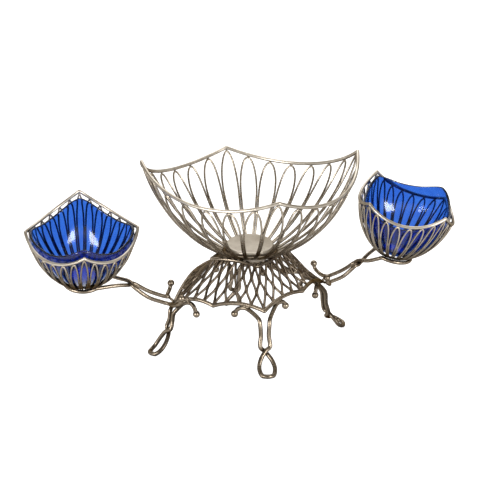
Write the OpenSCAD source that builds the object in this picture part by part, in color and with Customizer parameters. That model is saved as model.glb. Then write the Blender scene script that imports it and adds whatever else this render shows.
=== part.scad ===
// Wirework epergne: a four-legged latticed stand that carries an open wire basket
// and, on two side arms, a pair of smaller wire baskets with glass liners.
// Millimetres, +Z up, origin on the table below the main basket, front leg at -Y.

/* [Wire] */

// Wire of the stand's two rims
rim_wire = 4; // [2.5:0.1:6]
// Wire of the legs
leg_wire = 4; // [2.5:0.1:6]
// Wire of the arms
arm_wire = 4; // [2.5:0.1:6]
// Wire of the skirt's lattice
lattice_wire = 2; // [1:0.1:3]
// Wire of the main basket's rim
main_rim_wire = 3.6; // [2:0.1:6]
// Wire of the main basket's loops
main_loop_wire = 1.9; // [1:0.1:3]
// Wire of the small baskets' rims
small_rim_wire = 3; // [1.5:0.1:5]
// Wire of the small baskets' loops
small_loop_wire = 1.6; // [0.8:0.1:2.5]
// Thickness of a solder bead beyond the wire that it joins
bead_extra = 0.6; // [0.2:0.1:1.5]
// Room between two wires that are soldered side by side
solder_room = 0.15; // [0.05:0.05:0.3]

/* [Stand] */

// Height of the lower rim's front and back corners above the table
lower_end_height = 64; // [45:0.5:90]
// Height of the lower rim's side corners, which hang lower under the arms
lower_side_height = 55.5; // [45:0.5:90]
// Reach of the lower rim's corners from the axis
lower_rim_reach = 88; // [70:0.5:110]
// Height of the cusps in the front right and back left sides
right_cusp_height = 70; // [45:0.5:90]
// Height of the cusps in the front left and back right sides
left_cusp_height = 58.5; // [45:0.5:90]
// Reach of the cusp in the middle of each lower side
lower_cusp_reach = 68; // [55:0.5:90]
// Turn of these cusps from the middle of their sides
cusp_turn = -7; // [-15:0.5:15]
// Rise of each lower arch above its two cusps
lower_arch_rise = 5.5; // [2:0.5:14]
// Height of the top rim
top_rim_height = 99; // [85:0.5:130]
// Reach of the top rim's corners from the axis
top_rim_reach = 45; // [38:0.5:60]
// Reach of the middle of each top side
top_side_reach = 29.5; // [26:0.5:40]
// Turn of the whole stand below the main basket
stand_turn = 3; // [-15:0.5:15]
// Turn of the side legs against the front and back legs
stand_skew = 7.5; // [-10:0.5:10]

/* [Skirt lattice] */

// Points of the lattice along each lower side
lattice_points = 8; // [5:1:10]
// Half waves of each lattice wire
lattice_waves = 3; // [1:2:5]
// Hollow of the skirt between its rims
skirt_hollow = 2; // [0:0.5:8]

/* [Legs] */

// Diameter of the ball at the end of a leg or an arm wire
ball_size = 7.6; // [6:0.1:10]
// Length of rim that the front and back legs' wires follow on their way to a ball
end_leg_branch = 36; // [24:0.5:40]
// Length of rim that the side legs' wires follow on their way to a ball
side_leg_branch = 27; // [24:0.5:40]
// Drop of the front and back legs' balls below the rim
end_ball_drop = 11.5; // [8:0.5:16]
// Drop of the side legs' balls below the rim
side_ball_drop = 16.5; // [8:0.5:20]
// Half spacing of the two wires of a leg
leg_half = 3.8; // [3:0.1:6]
// Half spacing of the two wires at the knuckle
knuckle_half = 6; // [4:0.1:9]
// Height of the knuckle above the table
knuckle_height = 27.5; // [22:0.5:32]
// Length from the rim's corner out to the crossing below the knuckle
cross_out = 9; // [2:0.5:16]
// Height of the crossing below the knuckle
cross_height = 23; // [16:0.5:26]
// Half width of the foot loop
foot_half = 8.2; // [6:0.1:12]
// Length of the foot loop from the crossing out to its tip
foot_length = 21.5; // [14:0.5:30]
// Depth of the worn flat below the foot loop
foot_flat = 0.5; // [0.1:0.1:0.8]

/* [Arms] */

// Half spacing of the two balls of an arm
arm_ball_half = 26; // [20:0.5:32]
// Height of an arm's balls above the rim's corner
arm_ball_rise = 13; // [10:0.5:20]
// Length from the rim's corner to the left arm's knuckle
left_knuckle_out = 43.5; // [32:0.5:48]
// Length from the rim's corner to the right arm's knuckle
right_knuckle_out = 36.5; // [28:0.5:42]
// Rise of an arm's knuckle above the rim's corner
arm_knuckle_rise = 20; // [12:0.5:26]
// Half spacing of an arm's wires at the knuckle
arm_knuckle_half = 5.8; // [4:0.1:9]
// Length from the knuckle to the arm's crossing
arm_cross_out = 5; // [3:0.5:8]
// Reach of the left holder ring from the axis
left_reach = 182; // [175:0.5:200]
// Reach of the right holder ring from the axis
right_reach = 163; // [158:0.5:200]
// Height of the left holder ring's centre
left_height = 83; // [80:0.5:115]
// Height of the right holder ring's centre
right_height = 87.5; // [85:0.5:115]
// Lean of the left holder ring and its basket
left_lean = 20.5; // [0:0.5:25]
// Lean of the right holder ring and its basket
right_lean = 15; // [0:0.5:25]
// Compass angle that the left basket leans to
left_lean_to = -100; // [-180:1:180]
// Compass angle that the right basket leans to
right_lean_to = -43; // [-180:1:180]

/* [Main basket] */

// Loops along each side, one corner included
main_loops = 7; // [5:1:9]
// Radius of the base ring
main_ring_radius = 27.5; // [22:0.5:29]
// Wire of the base ring
main_ring_wire = 3.6; // [2:0.1:6]
// Reach of the rim's corners
main_corner_reach = 118; // [100:0.5:122]
// Height of the side corners above the base ring
main_side_corner_rise = 105; // [90:0.5:120]
// Height of the front and back corners above the base ring
main_end_corner_rise = 86; // [75:0.5:105]
// Reach of the middle of each side
main_side_reach = 106; // [88:0.5:112]
// Height of the middle of each side above the base ring
main_side_rise = 74.5; // [60:0.5:85]
// Fullness of the bowl, the share of its spread that the low part takes
main_fullness = 0.74; // [0.5:0.01:0.9]
// Slope of the bowl's low part, the share of its rise there
main_low_rise = 0.28; // [0.1:0.01:0.45]
// Share of the wall's length where the loops part into arches
main_spring = 0.57; // [0.4:0.01:0.75]
// Turn of the main basket on its stand
main_turn = -1; // [-10:0.5:10]
// Radius of the floor plate
floor_radius = 25.4; // [18:0.1:25.4]
// Height of the floor plate's top above the base ring
floor_rise = 9; // [5:0.5:12]
// Tilt of the floor plate, which is soldered in by hand
floor_tilt = 8; // [0:0.5:10]
// Compass angle that the floor plate tilts to
floor_tilt_to = -105; // [-180:1:180]
// Sheet of the floor plate
floor_sheet = 0.9; // [0.5:0.1:2]
// Rounding of the floor plate's edge
floor_round = 1.6; // [1.2:0.1:2.5]

/* [Small baskets] */

// Loops along each side, one corner included
small_loops = 7; // [5:1:8]
// Radius of the base ring
small_ring_radius = 15; // [15:0.5:20]
// Wire of the base ring
small_ring_wire = 2.6; // [2:0.1:4]
// Reach of the rim's corners
small_corner_reach = 58; // [54:0.5:62]
// Height of the front and back corners above the base ring
small_end_corner_rise = 71.5; // [60:0.5:80]
// Height of the side corners above the base ring
small_side_corner_rise = 64; // [56:0.5:75]
// Reach of the middle of each side
small_side_reach = 53; // [48:0.5:56]
// Height of the middle of each side above the base ring
small_side_rise = 51; // [44:0.5:58]
// Fullness of the bowl, the share of its spread that the low part takes
small_fullness = 0.8; // [0.5:0.01:0.9]
// Slope of the bowl's low part, the share of its rise there
small_low_rise = 0.3; // [0.1:0.01:0.45]
// Share of the wall's length where the loops part into arches
small_spring = 0.55; // [0.4:0.01:0.75]
// Turn of the left basket in its holder
left_turn = -7; // [-45:1:45]
// Turn of the right basket in its holder
right_turn = 23; // [-45:1:45]
// Room between a basket and its holder ring
holder_room = 0.3; // [0.2:0.05:1]

/* [Glass liners] */

// Wall of the glass
glass_wall = 2.6; // [1.5:0.1:4]
// Room between the glass and the loops at the middle of each side
glass_room = 3.4; // [3:0.1:5]
// Height of the underside of the glass above the base ring
glass_seat_room = 0.3; // [0.2:0.05:1]
// Radius of the flat underside of the glass
glass_foot_radius = 12; // [8:0.5:15]
// Dip of the glass edge below the rim at the middle of each side
glass_dip = 3.5; // [0:0.5:8]
// Rise of the glass's front and back corners above the middle of each side
glass_end_rise = 19; // [8:0.5:22]
// Rise of the glass's side corners above the middle of each side
glass_side_rise = 12.5; // [6:0.5:18]
// Tip of the left glass, which lies loose in its basket
left_tip = 6; // [0:0.5:15]
// Tip of the right glass
right_tip = 14; // [0:0.5:15]
// Compass angle in its basket that the left glass tips to
left_tip_to = 90; // [-180:5:180]
// Compass angle in its basket that the right glass tips to
right_tip_to = 180; // [-180:5:180]
// How far the tip lifts the left glass off its level seat
left_tip_lift = 3.8; // [3.7:0.1:6]
// How far the tip lifts the right glass off its level seat
right_tip_lift = 3.4; // [3.3:0.1:6]

/* [Hidden] */

$fn = 48;
// Node to build, or all of them

FRONT = 0;
RIGHT = 1;
BACK = 2;
LEFT = 3;
UP = [0, 0, 1];

loop_sides = 4;
small_loop_sides = 4;
lattice_sides = 4;
wire_sides = 5;
lattice_steps = 9;
arch_steps = 6;
leg_steps = 3;
small_leg_steps = 2;
small_arch_steps = 4;
bend_steps = 2;
ring_step = 20;
// The holder ring is left open by this much on each side of the arm
ring_mouth = 50;
// Where on the small baskets' wall the holder ring bears
seat_share = 0.03;
// Share of a bead's reach over its wire that the wire's end stops short by
bead_share = 0.6;
// Play of a wire's end in the hole of its ball
ball_hole_play = 0.1;
cut = 400;

// Where a leg wire comes up to the rim and leaves it, back along the rim from its ball
leg_hook = 3.5;
leg_rest = 9;
leg_part = 16;
// How far a leg wire has left the rim there
leg_part_drop = 0.3;
// How far a leg bows out beyond the rim's corner, and how much wider it starts there
shank_bow = 3.5;
shank_wide = 2;
// How far out an arm's balls stand, and where its wire curls behind and below each ball
arm_ball_out = -1.5;
hook_side = 2.5;
hook_back = 4;
hook_drop = 6.5;
// Where the curl leaves the arm: in from the ball, out from the corner and below the ball
curl_side = 12;
curl_out = 2;
curl_drop = 8.5;
// Where an arm's wire lies against the bead of the rim's corner
arm_rest = unit([3, 2.8, 3]);
// Half spacing of an arm's wires beyond the corner and on the way to the knuckle
arm_half = 4.2;
arm_middle_half = 4.8;
// Rise from an arm's knuckle to its crossing, and how far its wires spread beyond it
arm_cross_rise = 2.5;
arm_spread = 1.2;

cross_reach = lower_rim_reach + cross_out;
rim_bead = rim_wire / 2 + bead_extra;
main_bead = main_rim_wire / 2 + bead_extra;
small_bead = small_rim_wire / 2 + bead_extra;

function mix(a, b, t) = a + (b - a) * t;
function unit(v) = v / norm(v);
function polar(r, a, z) = [r * cos(a), r * sin(a), z];
function bow(a, b, c, t) = mix(mix(a, b, t), mix(b, c, t), t);
function flat(v) = [v.x, v.y, 0];
function leaned(v, angle, to) =
    let (k = [-sin(to), cos(to), 0])
    v * cos(angle) + cross(k, v) * sin(angle) + k * (k * v) * (1 - cos(angle));

// An arc through three points: centre, radius, its two axes and its sweep
function arc(a, m, b) =
    let (
        u = m - a,
        v = b - a,
        w = cross(u, v),
        c = a + (cross(w, u) * (v * v) + cross(v, w) * (u * u)) / (2 * w * w),
        x = unit(a - c),
        y = cross(unit(w), x),
        turn = atan2((b - c) * y, (b - c) * x)
    )
    [c, norm(a - c), x, y, turn < 0 ? turn + 360 : turn];
function arc_point(k, t) = k[0] + k[1] * (k[2] * cos(t * k[4]) + k[3] * sin(t * k[4]));
function arc_length(k) = k[1] * k[4] * PI / 180;

// A wire bent along an arc, whose ends stop inside the beads that join it
module arc_wire(k, wire, bead) {
    z = cross(k[2], k[3]);
    short = bead_share * sqrt(pow(bead, 2) - pow(wire / 2, 2)) / k[1] * 180 / PI;
    multmatrix([
        [k[2].x, k[3].x, z.x, k[0].x],
        [k[2].y, k[3].y, z.y, k[0].y],
        [k[2].z, k[3].z, z.z, k[0].z],
        [0, 0, 0, 1]
    ])
        rotate(short)
            rotate_extrude(angle = k[4] - 2 * short)
                translate([k[1], 0])
                    circle(d = wire);
}

// A solder bead, with its poles towards and away from the axis
module bead(at, radius) {
    translate(at)
        rotate([0, 90, atan2(at.y, at.x)])
            sphere(r = radius);
}

// A smooth run of points through the given bends
function bent(p, steps) =
    let (n = len(p) - 1)
    concat(
        [for (i = [0 : n - 1], s = [0 : steps - 1])
            let (
                t = s / steps,
                a = p[max(i - 1, 0)],
                b = p[i],
                c = p[i + 1],
                d = p[min(i + 2, n)]
            )
            b + (c - a) * (t / 2) + (2 * a - 5 * b + 4 * c - d) * (t * t / 2)
                + (3 * b - a - 3 * c + d) * (t * t * t / 2)],
        [p[n]]
    );
function heading(p, i) = unit(p[min(i + 1, len(p) - 1)] - p[max(i - 1, 0)]);
function squared(v, t) = unit(v - t * (v * t));
function carried(p, side) =
    [for (i = 0, v = squared(side, heading(p, 0)); i < len(p);
        i = i + 1, v = i < len(p) ? squared(v, heading(p, i)) : v) v];

// A round wire swept along points, starting with one of its flats towards side
module swept(p, wire, sides, side) {
    across = carried(p, side);
    n = len(p);
    points = [for (i = [0 : n - 1], s = [0 : sides - 1])
        let (
            t = heading(p, i),
            v = across[i],
            a = 360 * (s + 0.5) / sides
        )
        p[i] + (v * cos(a) + cross(t, v) * sin(a)) * wire / 2];
    walls = [for (i = [0 : n - 2], s = [0 : sides - 1], half = [0, 1])
        let (
            a = i * sides + s,
            b = i * sides + (s + 1) % sides
        )
        half == 0 ? [a, a + sides, b] : [b, a + sides, b + sides]];
    first = [for (s = [1 : sides - 2]) [0, s, s + 1]];
    last = [for (s = [1 : sides - 2])
        [(n - 1) * sides, (n - 1) * sides + s + 1, (n - 1) * sides + s]];
    polyhedron(points = points, faces = concat(walls, first, last));
}

// The stand's corners and rims
function corner_angle(i) =
    90 * (i - 1) + stand_turn + (i % 2 == 0 ? -stand_skew : stand_skew);
function side_angle(i) = (corner_angle(i) + corner_angle(i + 1)) / 2;
function corner_height(i) = i % 2 == 0 ? lower_end_height : lower_side_height;
function lower_corner(i) = polar(lower_rim_reach, corner_angle(i), corner_height(i));
function lower_cusp(i) =
    polar(lower_cusp_reach, side_angle(i) + cusp_turn,
        i % 2 == 0 ? right_cusp_height : left_cusp_height);
function arch_arc(a, b) = arc(a, (a + b) / 2 + UP * lower_arch_rise, b);
function first_arch(i) = arch_arc(lower_corner(i), lower_cusp(i));
function second_arch(i) = arch_arc(lower_cusp(i), lower_corner(i + 1));
function lower_point(i, t) =
    t < 0.5 ? arc_point(first_arch(i), 2 * t) : arc_point(second_arch(i), 2 * t - 1);
function top_arc(i) =
    arc(
        polar(top_rim_reach, corner_angle(i), top_rim_height),
        polar(top_side_reach, side_angle(i), top_rim_height),
        polar(top_rim_reach, corner_angle(i + 1), top_rim_height)
    );

module top_rim() {
    color("silver")
        for (i = [0 : 3]) {
            arc_wire(top_arc(i), rim_wire, rim_bead);
            bead(arc_point(top_arc(i), 0), rim_bead);
        }
}

module lower_rim() {
    color("silver")
        for (i = [0 : 3]) {
            arc_wire(first_arch(i), rim_wire, rim_bead);
            arc_wire(second_arch(i), rim_wire, rim_bead);
            bead(lower_corner(i), rim_bead);
            bead(lower_cusp(i), rim_bead);
        }
}

// The skirt: wavy wires that meet side by side between the two rims
function skirt_point(i, t, h) =
    let (p = mix(lower_point(i, t), arc_point(top_arc(i), t), h))
    p - unit(flat(p)) * (skirt_hollow * 4 * h * (1 - h));
function skirt_rise(i, k) =
    skirt_point(i, k / lattice_points, 1) - skirt_point(i, k / lattice_points, 0);
function skirt_step(i, k, way, h) =
    skirt_point(i, (k + way) / lattice_points, h) - skirt_point(i, k / lattice_points, h);
// The part of a step that is square to the rising wires
function skirt_pitch(i, k, way, h) =
    let (
        step = skirt_step(i, k, way, h),
        rise = unit(skirt_rise(i, k))
    )
    step - rise * (step * rise);
// The same on the far side of point k, which is the next panel's at a corner
function pitch_beyond(i, k, way, h) =
    k - way < 0 ? skirt_pitch(i + 3, lattice_points, -1, h)
    : k - way > lattice_points ? skirt_pitch(i + 1, 0, 1, h)
    : skirt_pitch(i, k, -way, h);
// Two wires that meet at a fold keep further off it than on a flat panel
function fold_share(i, k, way, h) =
    1 / sqrt((1 - unit(skirt_pitch(i, k, way, h)) * unit(pitch_beyond(i, k, way, h))) / 2);
// How far a wire's end stops short of the middle of a rim that it meets at a slant
function rim_room(i, k, way, h) =
    let (
        square = norm(skirt_pitch(i, k, way, h)) / norm(skirt_step(i, k, way, h)),
        thick = k % (lattice_points / 2) == 0 ? rim_bead : rim_wire / 2
    )
    (thick + 2 * solder_room + lattice_wire / 2 * sqrt(1 - square * square))
        / square / norm(skirt_rise(i, k));
function lattice_wave(i, k, way) =
    [for (s = [0 : lattice_steps])
        let (
            q = s / lattice_steps,
            h = mix(rim_room(i, k, way, 0), 1 - rim_room(i, k, way, 1), q),
            half = (lattice_wire + solder_room) / 2 / norm(skirt_pitch(i, k, way, h)),
            x = mix(fold_share(i, k, way, h) * half, 0.5 - half,
                (1 - cos(180 * lattice_waves * q)) / 2)
        )
        skirt_point(i, (k + way * x) / lattice_points, h)];

module skirt_panel(i) {
    color("lightgray")
        for (k = [0 : lattice_points - 1]) {
            swept(lattice_wave(i, k, 1), lattice_wire, lattice_sides, polar(1, side_angle(i), 0));
            swept(lattice_wave(i, k + 1, -1), lattice_wire, lattice_sides,
                polar(1, side_angle(i), 0));
        }
}

module skirt_front_right() { skirt_panel(FRONT); }
module skirt_back_right() { skirt_panel(RIGHT); }
module skirt_back_left() { skirt_panel(BACK); }
module skirt_front_left() { skirt_panel(LEFT); }

// A leg: one wire from ball to ball, crossed above a foot loop
function rim_beside(i, way, along) =
    let (k = way > 0 ? first_arch(i) : second_arch(i + 3))
    let (t = along / arc_length(k))
    arc_point(k, way > 0 ? t : 1 - t);
// A point at a distance below the rim, measured square to it
function rim_below(i, way, along, gap) =
    let (run = rim_beside(i, way, along + 1) - rim_beside(i, way, along - 1))
    rim_beside(i, way, along) - UP * (gap * norm(run) / norm(flat(run)));
function leg_out(i) = [cos(corner_angle(i)), sin(corner_angle(i)), 0];
function leg_point(i, u, reach, height) =
    leg_out(i) * reach + cross(UP, leg_out(i)) * u + UP * height;
function leg_branch_points(i, way) =
    let (
        touch = rim_wire / 2 + leg_wire / 2 + 2 * solder_room,
        branch = i % 2 == 0 ? end_leg_branch : side_leg_branch,
        drop = i % 2 == 0 ? end_ball_drop : side_ball_drop
    )
    [
        rim_below(i, way, branch, drop),
        rim_below(i, way, branch - leg_hook, mix(touch, drop, 0.3)),
        rim_below(i, way, branch - leg_rest, touch),
        rim_below(i, way, branch - leg_part, touch + leg_part_drop)
    ];
function leg_shank_points(i, way) =
    let (drop = corner_height(i) - knuckle_height)
    [
        leg_point(i, way * (leg_half + shank_wide), lower_rim_reach, knuckle_height + 0.86 * drop),
        leg_point(i, way * (leg_half + 0.3 * shank_wide), lower_rim_reach + shank_bow,
            knuckle_height + 0.6 * drop),
        leg_point(i, way * leg_half, lower_rim_reach + 1.3 * shank_bow,
            knuckle_height + 0.3 * drop),
        leg_point(i, way * knuckle_half, mix(lower_rim_reach, cross_reach, 0.8), knuckle_height)
    ];
// A point of the foot, which falls steeply from the crossing and runs out level at its tip
function foot_share(i, u, q, lift) =
    let (
        low = leg_wire / 2 - foot_flat,
        long = foot_length - leg_wire / 2,
        fall = cross_height - low
    )
    leg_point(i, u, cross_reach + long * q, low + fall * pow(1 - q, 2))
        + unit(leg_out(i) * (2 * fall * (1 - q)) + UP * long) * lift;
function leg_path(i) =
    let (
        pass = (leg_wire + solder_room) / 2,
        back = [for (p = [leg_shank_points(i, -1), leg_branch_points(i, -1)]) p]
    )
    bent(
        concat(
            leg_branch_points(i, 1),
            leg_shank_points(i, 1),
            [
                foot_share(i, 0, 0, pass),
                foot_share(i, -0.62 * foot_half, 0.26, 0.6 * pass),
                foot_share(i, -foot_half, 0.62, 0),
                foot_share(i, -0.78 * foot_half, 0.9, 0),
                foot_share(i, 0, 1, 0),
                foot_share(i, 0.78 * foot_half, 0.9, 0),
                foot_share(i, foot_half, 0.62, 0),
                foot_share(i, 0.62 * foot_half, 0.26, -0.6 * pass),
                foot_share(i, 0, 0, -pass)
            ],
            [for (j = [3 : -1 : 0]) back[0][j]],
            [for (j = [3 : -1 : 0]) back[1][j]]
        ),
        bend_steps
    );

module leg(i) {
    color("silver")
        difference() {
            swept(leg_path(i), leg_wire, wire_sides, leg_out(i) + UP);
            translate([-cut, -cut, -cut])
                cube([2 * cut, 2 * cut, cut]);
        }
}

module leg_front() { leg(FRONT); }
module leg_right() { leg(RIGHT); }
module leg_back() { leg(BACK); }
module leg_left() { leg(LEFT); }

// A ball drilled to its middle for the wire that runs from it to next
module drilled_ball(at, next, wire) {
    way = unit(next - at);
    translate(at)
        rotate([0, acos(way.z), atan2(way.y, way.x)])
            difference() {
                sphere(d = ball_size);
                translate([0, 0, -ball_hole_play])
                    cylinder(d = wire + 2 * ball_hole_play, h = ball_size);
            }
}

module end_balls(p, wire) {
    color("gainsboro") {
        drilled_ball(p[0], p[1], wire);
        drilled_ball(p[len(p) - 1], p[len(p) - 2], wire);
    }
}

module leg_balls_front() { end_balls(leg_path(FRONT), leg_wire); }
module leg_balls_right() { end_balls(leg_path(RIGHT), leg_wire); }
module leg_balls_back() { end_balls(leg_path(BACK), leg_wire); }
module leg_balls_left() { end_balls(leg_path(LEFT), leg_wire); }

// The wall of a wire basket: rim arcs, bowl points and loops, from one set of sizes
MAIN = [
    main_loops, main_ring_radius, main_ring_wire, main_rim_wire, main_loop_wire,
    main_corner_reach, [main_end_corner_rise, main_side_corner_rise],
    main_side_reach, main_side_rise, main_fullness, main_low_rise, main_spring
];
SMALL = [
    small_loops, small_ring_radius, small_ring_wire, small_rim_wire, small_loop_wire,
    small_corner_reach, [small_end_corner_rise, small_side_corner_rise],
    small_side_reach, small_side_rise, small_fullness, small_low_rise, small_spring
];
function loops_of(b) = b[0];
function ring_radius_of(b) = b[1];
function ring_wire_of(b) = b[2];
function rim_wire_of(b) = b[3];
function loop_wire_of(b) = b[4];
function foot_of(b) = b[1] + b[2] / 2 + b[4] / 2 + solder_room;
function basket_corner(b, i) = polar(b[5], 90 * (i - 1), b[6][i % 2]);
function rim_arc(b, i) =
    arc(basket_corner(b, i), polar(b[7], 90 * i - 45, b[8]), basket_corner(b, i + 1));
function rim_at(b, u) =
    let (
        n = loops_of(b),
        i = floor(u / n)
    )
    arc_point(rim_arc(b, i + 4), u / n - i);
function rim_angle(b, u) =
    let (
        p = rim_at(b, u),
        a = atan2(p.y, p.x),
        base = 90 * (u / loops_of(b) - 1)
    )
    a + 360 * round((base - a) / 360);
function wall_point(b, u, s) =
    let (
        p = rim_at(b, u),
        r = norm(flat(p)),
        foot = foot_of(b),
        a = mix(90 * (u / loops_of(b) - 1), rim_angle(b, u), s)
    )
    polar(
        bow(foot, mix(foot, r, b[9]), r, s),
        a,
        bow(0, p.z * b[10], p.z, s)
    );
// The share of the wall where a loop's arch meets the underside of the rim
function loop_top(b, u, bead) =
    let (clear = rim_wire_of(b) / 2 + bead + loop_wire_of(b) / 2 + 2 * solder_room)
    1 - clear / (norm(wall_point(b, u, 1) - wall_point(b, u, 0.99)) * 100);
function loop_point(b, k, w, s) =
    let (
        p = wall_point(b, k + w, s),
        aside = unit(cross(UP, flat(p)))
    )
    p - aside * (w / 0.5 * (loop_wire_of(b) + solder_room) / 2);
function loop_path(b, k, legs, arches) =
    let (
        top = loop_top(b, k, k % loops_of(b) == 0 ? bead_extra : 0),
        spring = b[11]
    )
    concat(
        [for (s = [0 : legs - 1]) loop_point(b, k, 0.5, spring * s / legs)],
        [for (s = [0 : arches])
            let (a = 180 * s / arches)
            loop_point(b, k, 0.5 * cos(a), mix(spring, top, sin(a)))],
        [for (s = [legs - 1 : -1 : 0]) loop_point(b, k, -0.5, spring * s / legs)]
    );

module basket_rim(b, bead) {
    for (i = [0 : 3]) {
        arc_wire(rim_arc(b, i), rim_wire_of(b), bead);
        bead(basket_corner(b, i), bead);
    }
}

module basket_ring(b) {
    rotate_extrude()
        translate([ring_radius_of(b), 0])
            circle(d = ring_wire_of(b));
}

module basket_loops(b, i, legs, arches, sides) {
    n = loops_of(b);
    for (k = [n * i : n * i + n - 1])
        swept(loop_path(b, k, legs, arches), loop_wire_of(b), sides,
            flat(wall_point(b, k, 1)) - UP * norm(flat(wall_point(b, k, 1))));
}

// The main basket's ring lies on the middles of the top rim's sides
main_ring_height = top_rim_height + sqrt(
    pow((rim_wire + main_ring_wire) / 2 + solder_room, 2)
        - pow(min(abs(top_side_reach - main_ring_radius), (rim_wire + main_ring_wire) / 2), 2)
);

module tilted(angle, to) {
    rotate(a = angle, v = [-sin(to), cos(to), 0])
        children();
}

module in_main() {
    translate([0, 0, main_ring_height])
        rotate(main_turn)
            children();
}

module main_rim() {
    color("whitesmoke")
        in_main()
            basket_rim(MAIN, main_bead);
}

module main_loops_side(i) {
    color("gainsboro")
        in_main()
            basket_loops(MAIN, i, leg_steps, arch_steps, loop_sides);
}

module main_loops_front_right() { main_loops_side(FRONT); }
module main_loops_back_right() { main_loops_side(RIGHT); }
module main_loops_back_left() { main_loops_side(BACK); }
module main_loops_front_left() { main_loops_side(LEFT); }

module main_base_ring() {
    color("silver")
        in_main()
            basket_ring(MAIN);
}

// The floor plate: a shallow turned-down dish that stands inside the base ring
module main_floor() {
    outer = min(floor_radius, main_ring_radius - main_ring_wire / 2 - solder_room);
    color("whitesmoke")
        in_main()
            tilted(floor_tilt, floor_tilt_to)
                rotate_extrude()
                    difference() {
                        floor_outline(outer, floor_rise, floor_round);
                        floor_outline(outer - floor_sheet, floor_rise - floor_sheet,
                            floor_round - floor_sheet);
                    }
}

module floor_outline(r, h, rounding) {
    translate([0, -main_ring_wire / 2])
        square([r, h + main_ring_wire / 2 - rounding]);
    square([r - rounding, h]);
    translate([r - rounding, h - rounding])
        intersection() {
            circle(r = rounding);
            square(rounding);
        }
}

// The small baskets stand with their walls on the arms' holder rings
function seat_wall(s) = wall_point(SMALL, small_loops / 2, s);
seat_slope = unit(seat_wall(seat_share + 0.01) - seat_wall(seat_share - 0.01));
seat_spot = seat_wall(seat_share);
seat_off = small_loop_wire / 2 + arm_wire / 2 + holder_room;
holder_radius = norm(flat(seat_spot)) + seat_off * seat_slope.z;
holder_level = seat_spot.z - seat_off * norm(flat(seat_slope));

function holder_at(i) =
    i == LEFT ? [-left_reach, 0, left_height] : [right_reach, 0, right_height];
function lean_of(i) = i == LEFT ? left_lean : right_lean;
function lean_to_of(i) = i == LEFT ? left_lean_to : right_lean_to;

module in_holder(i) {
    translate(holder_at(i))
        tilted(lean_of(i), lean_to_of(i))
            translate([0, 0, -holder_level])
                rotate(i == LEFT ? left_turn : right_turn)
                    children();
}

module small_rim(i) {
    color("whitesmoke")
        in_holder(i)
            basket_rim(SMALL, small_bead);
}

module small_wall(i) {
    color("gainsboro")
        in_holder(i)
            for (side = [0 : 3])
                basket_loops(SMALL, side, small_leg_steps, small_arch_steps, small_loop_sides);
}

module small_base_ring(i) {
    color("silver")
        in_holder(i)
            basket_ring(SMALL);
}

module left_rim() { small_rim(LEFT); }
module left_loops() { small_wall(LEFT); }
module left_base_ring() { small_base_ring(LEFT); }
module right_rim() { small_rim(RIGHT); }
module right_loops() { small_wall(RIGHT); }
module right_base_ring() { small_base_ring(RIGHT); }

// A glass liner: a bowl of four spherical lobes with a scalloped edge
glass_foot = small_ring_wire / 2 + glass_seat_room;
glass_side = small_side_reach - small_loop_wire / 2 - glass_room;
glass_edge = small_side_rise - glass_dip;
// Each sphere passes through the edge of the flat foot and the middle of one side
lobe_chord = [glass_side - glass_foot_radius, glass_edge - glass_foot];
lobe_start = 21;
// Share of a side's reach at which its scallop comes up to the corners
corner_share = 0.74;
lobe_half = atan2(lobe_chord.y, lobe_chord.x) - lobe_start;
lobe_radius = norm(lobe_chord) / 2 / sin(lobe_half);
lobe_middle = [
    glass_foot_radius - lobe_radius * sin(lobe_start),
    glass_foot + lobe_radius * cos(lobe_start)
];

module lobe(radius, bottom) {
    intersection() {
        translate([lobe_middle.x, 0, lobe_middle.y])
            sphere(r = radius);
        translate([0, 0, bottom])
            linear_extrude(cut)
                polygon([[0, 0], [cut, -cut], [cut, cut]]);
    }
}

// One side of the glass, from corner to corner, below a scallop through three heights
module glass_quarter(first_rise, last_rise) {
    half = glass_side * corner_share;
    scallop = arc(
        [0, -half, glass_edge + first_rise],
        [0, 0, glass_edge],
        [0, half, glass_edge + last_rise]
    );
    difference() {
        lobe(lobe_radius, glass_foot);
        translate([0, 0, lobe_middle.y])
            intersection() {
                translate([lobe_middle.x, 0, 0])
                    sphere(r = lobe_radius - glass_wall);
                translate([-cut, -cut, glass_foot + glass_wall - lobe_middle.y])
                    cube([2 * cut, 2 * cut, cut]);
            }
        translate(scallop[0])
            rotate([0, 90, 0])
                cylinder(r = scallop[1], h = cut, center = true);
    }
}

module small_glass(i) {
    rises = [glass_end_rise, glass_side_rise];
    color([0.2, 0.4, 0.85, 0.5])
        in_holder(i)
            translate([0, 0, lobe_middle.y + (i == LEFT ? left_tip_lift : right_tip_lift)])
                tilted(i == LEFT ? left_tip : right_tip, i == LEFT ? left_tip_to : right_tip_to)
                    translate([0, 0, -lobe_middle.y])
                        for (side = [0 : 3])
                            rotate(90 * side - 45)
                                glass_quarter(rises[side % 2], rises[(side + 1) % 2]);
}

module left_glass() { small_glass(LEFT); }
module right_glass() { small_glass(RIGHT); }

// An arm: one wire from ball to ball, crossed before it rings the small basket
function arm_out(i) = unit(flat(holder_at(i) - lower_corner(i)));
function arm_point(i, u, v, w) =
    lower_corner(i) + cross(UP, arm_out(i)) * u + arm_out(i) * v + UP * w;
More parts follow.
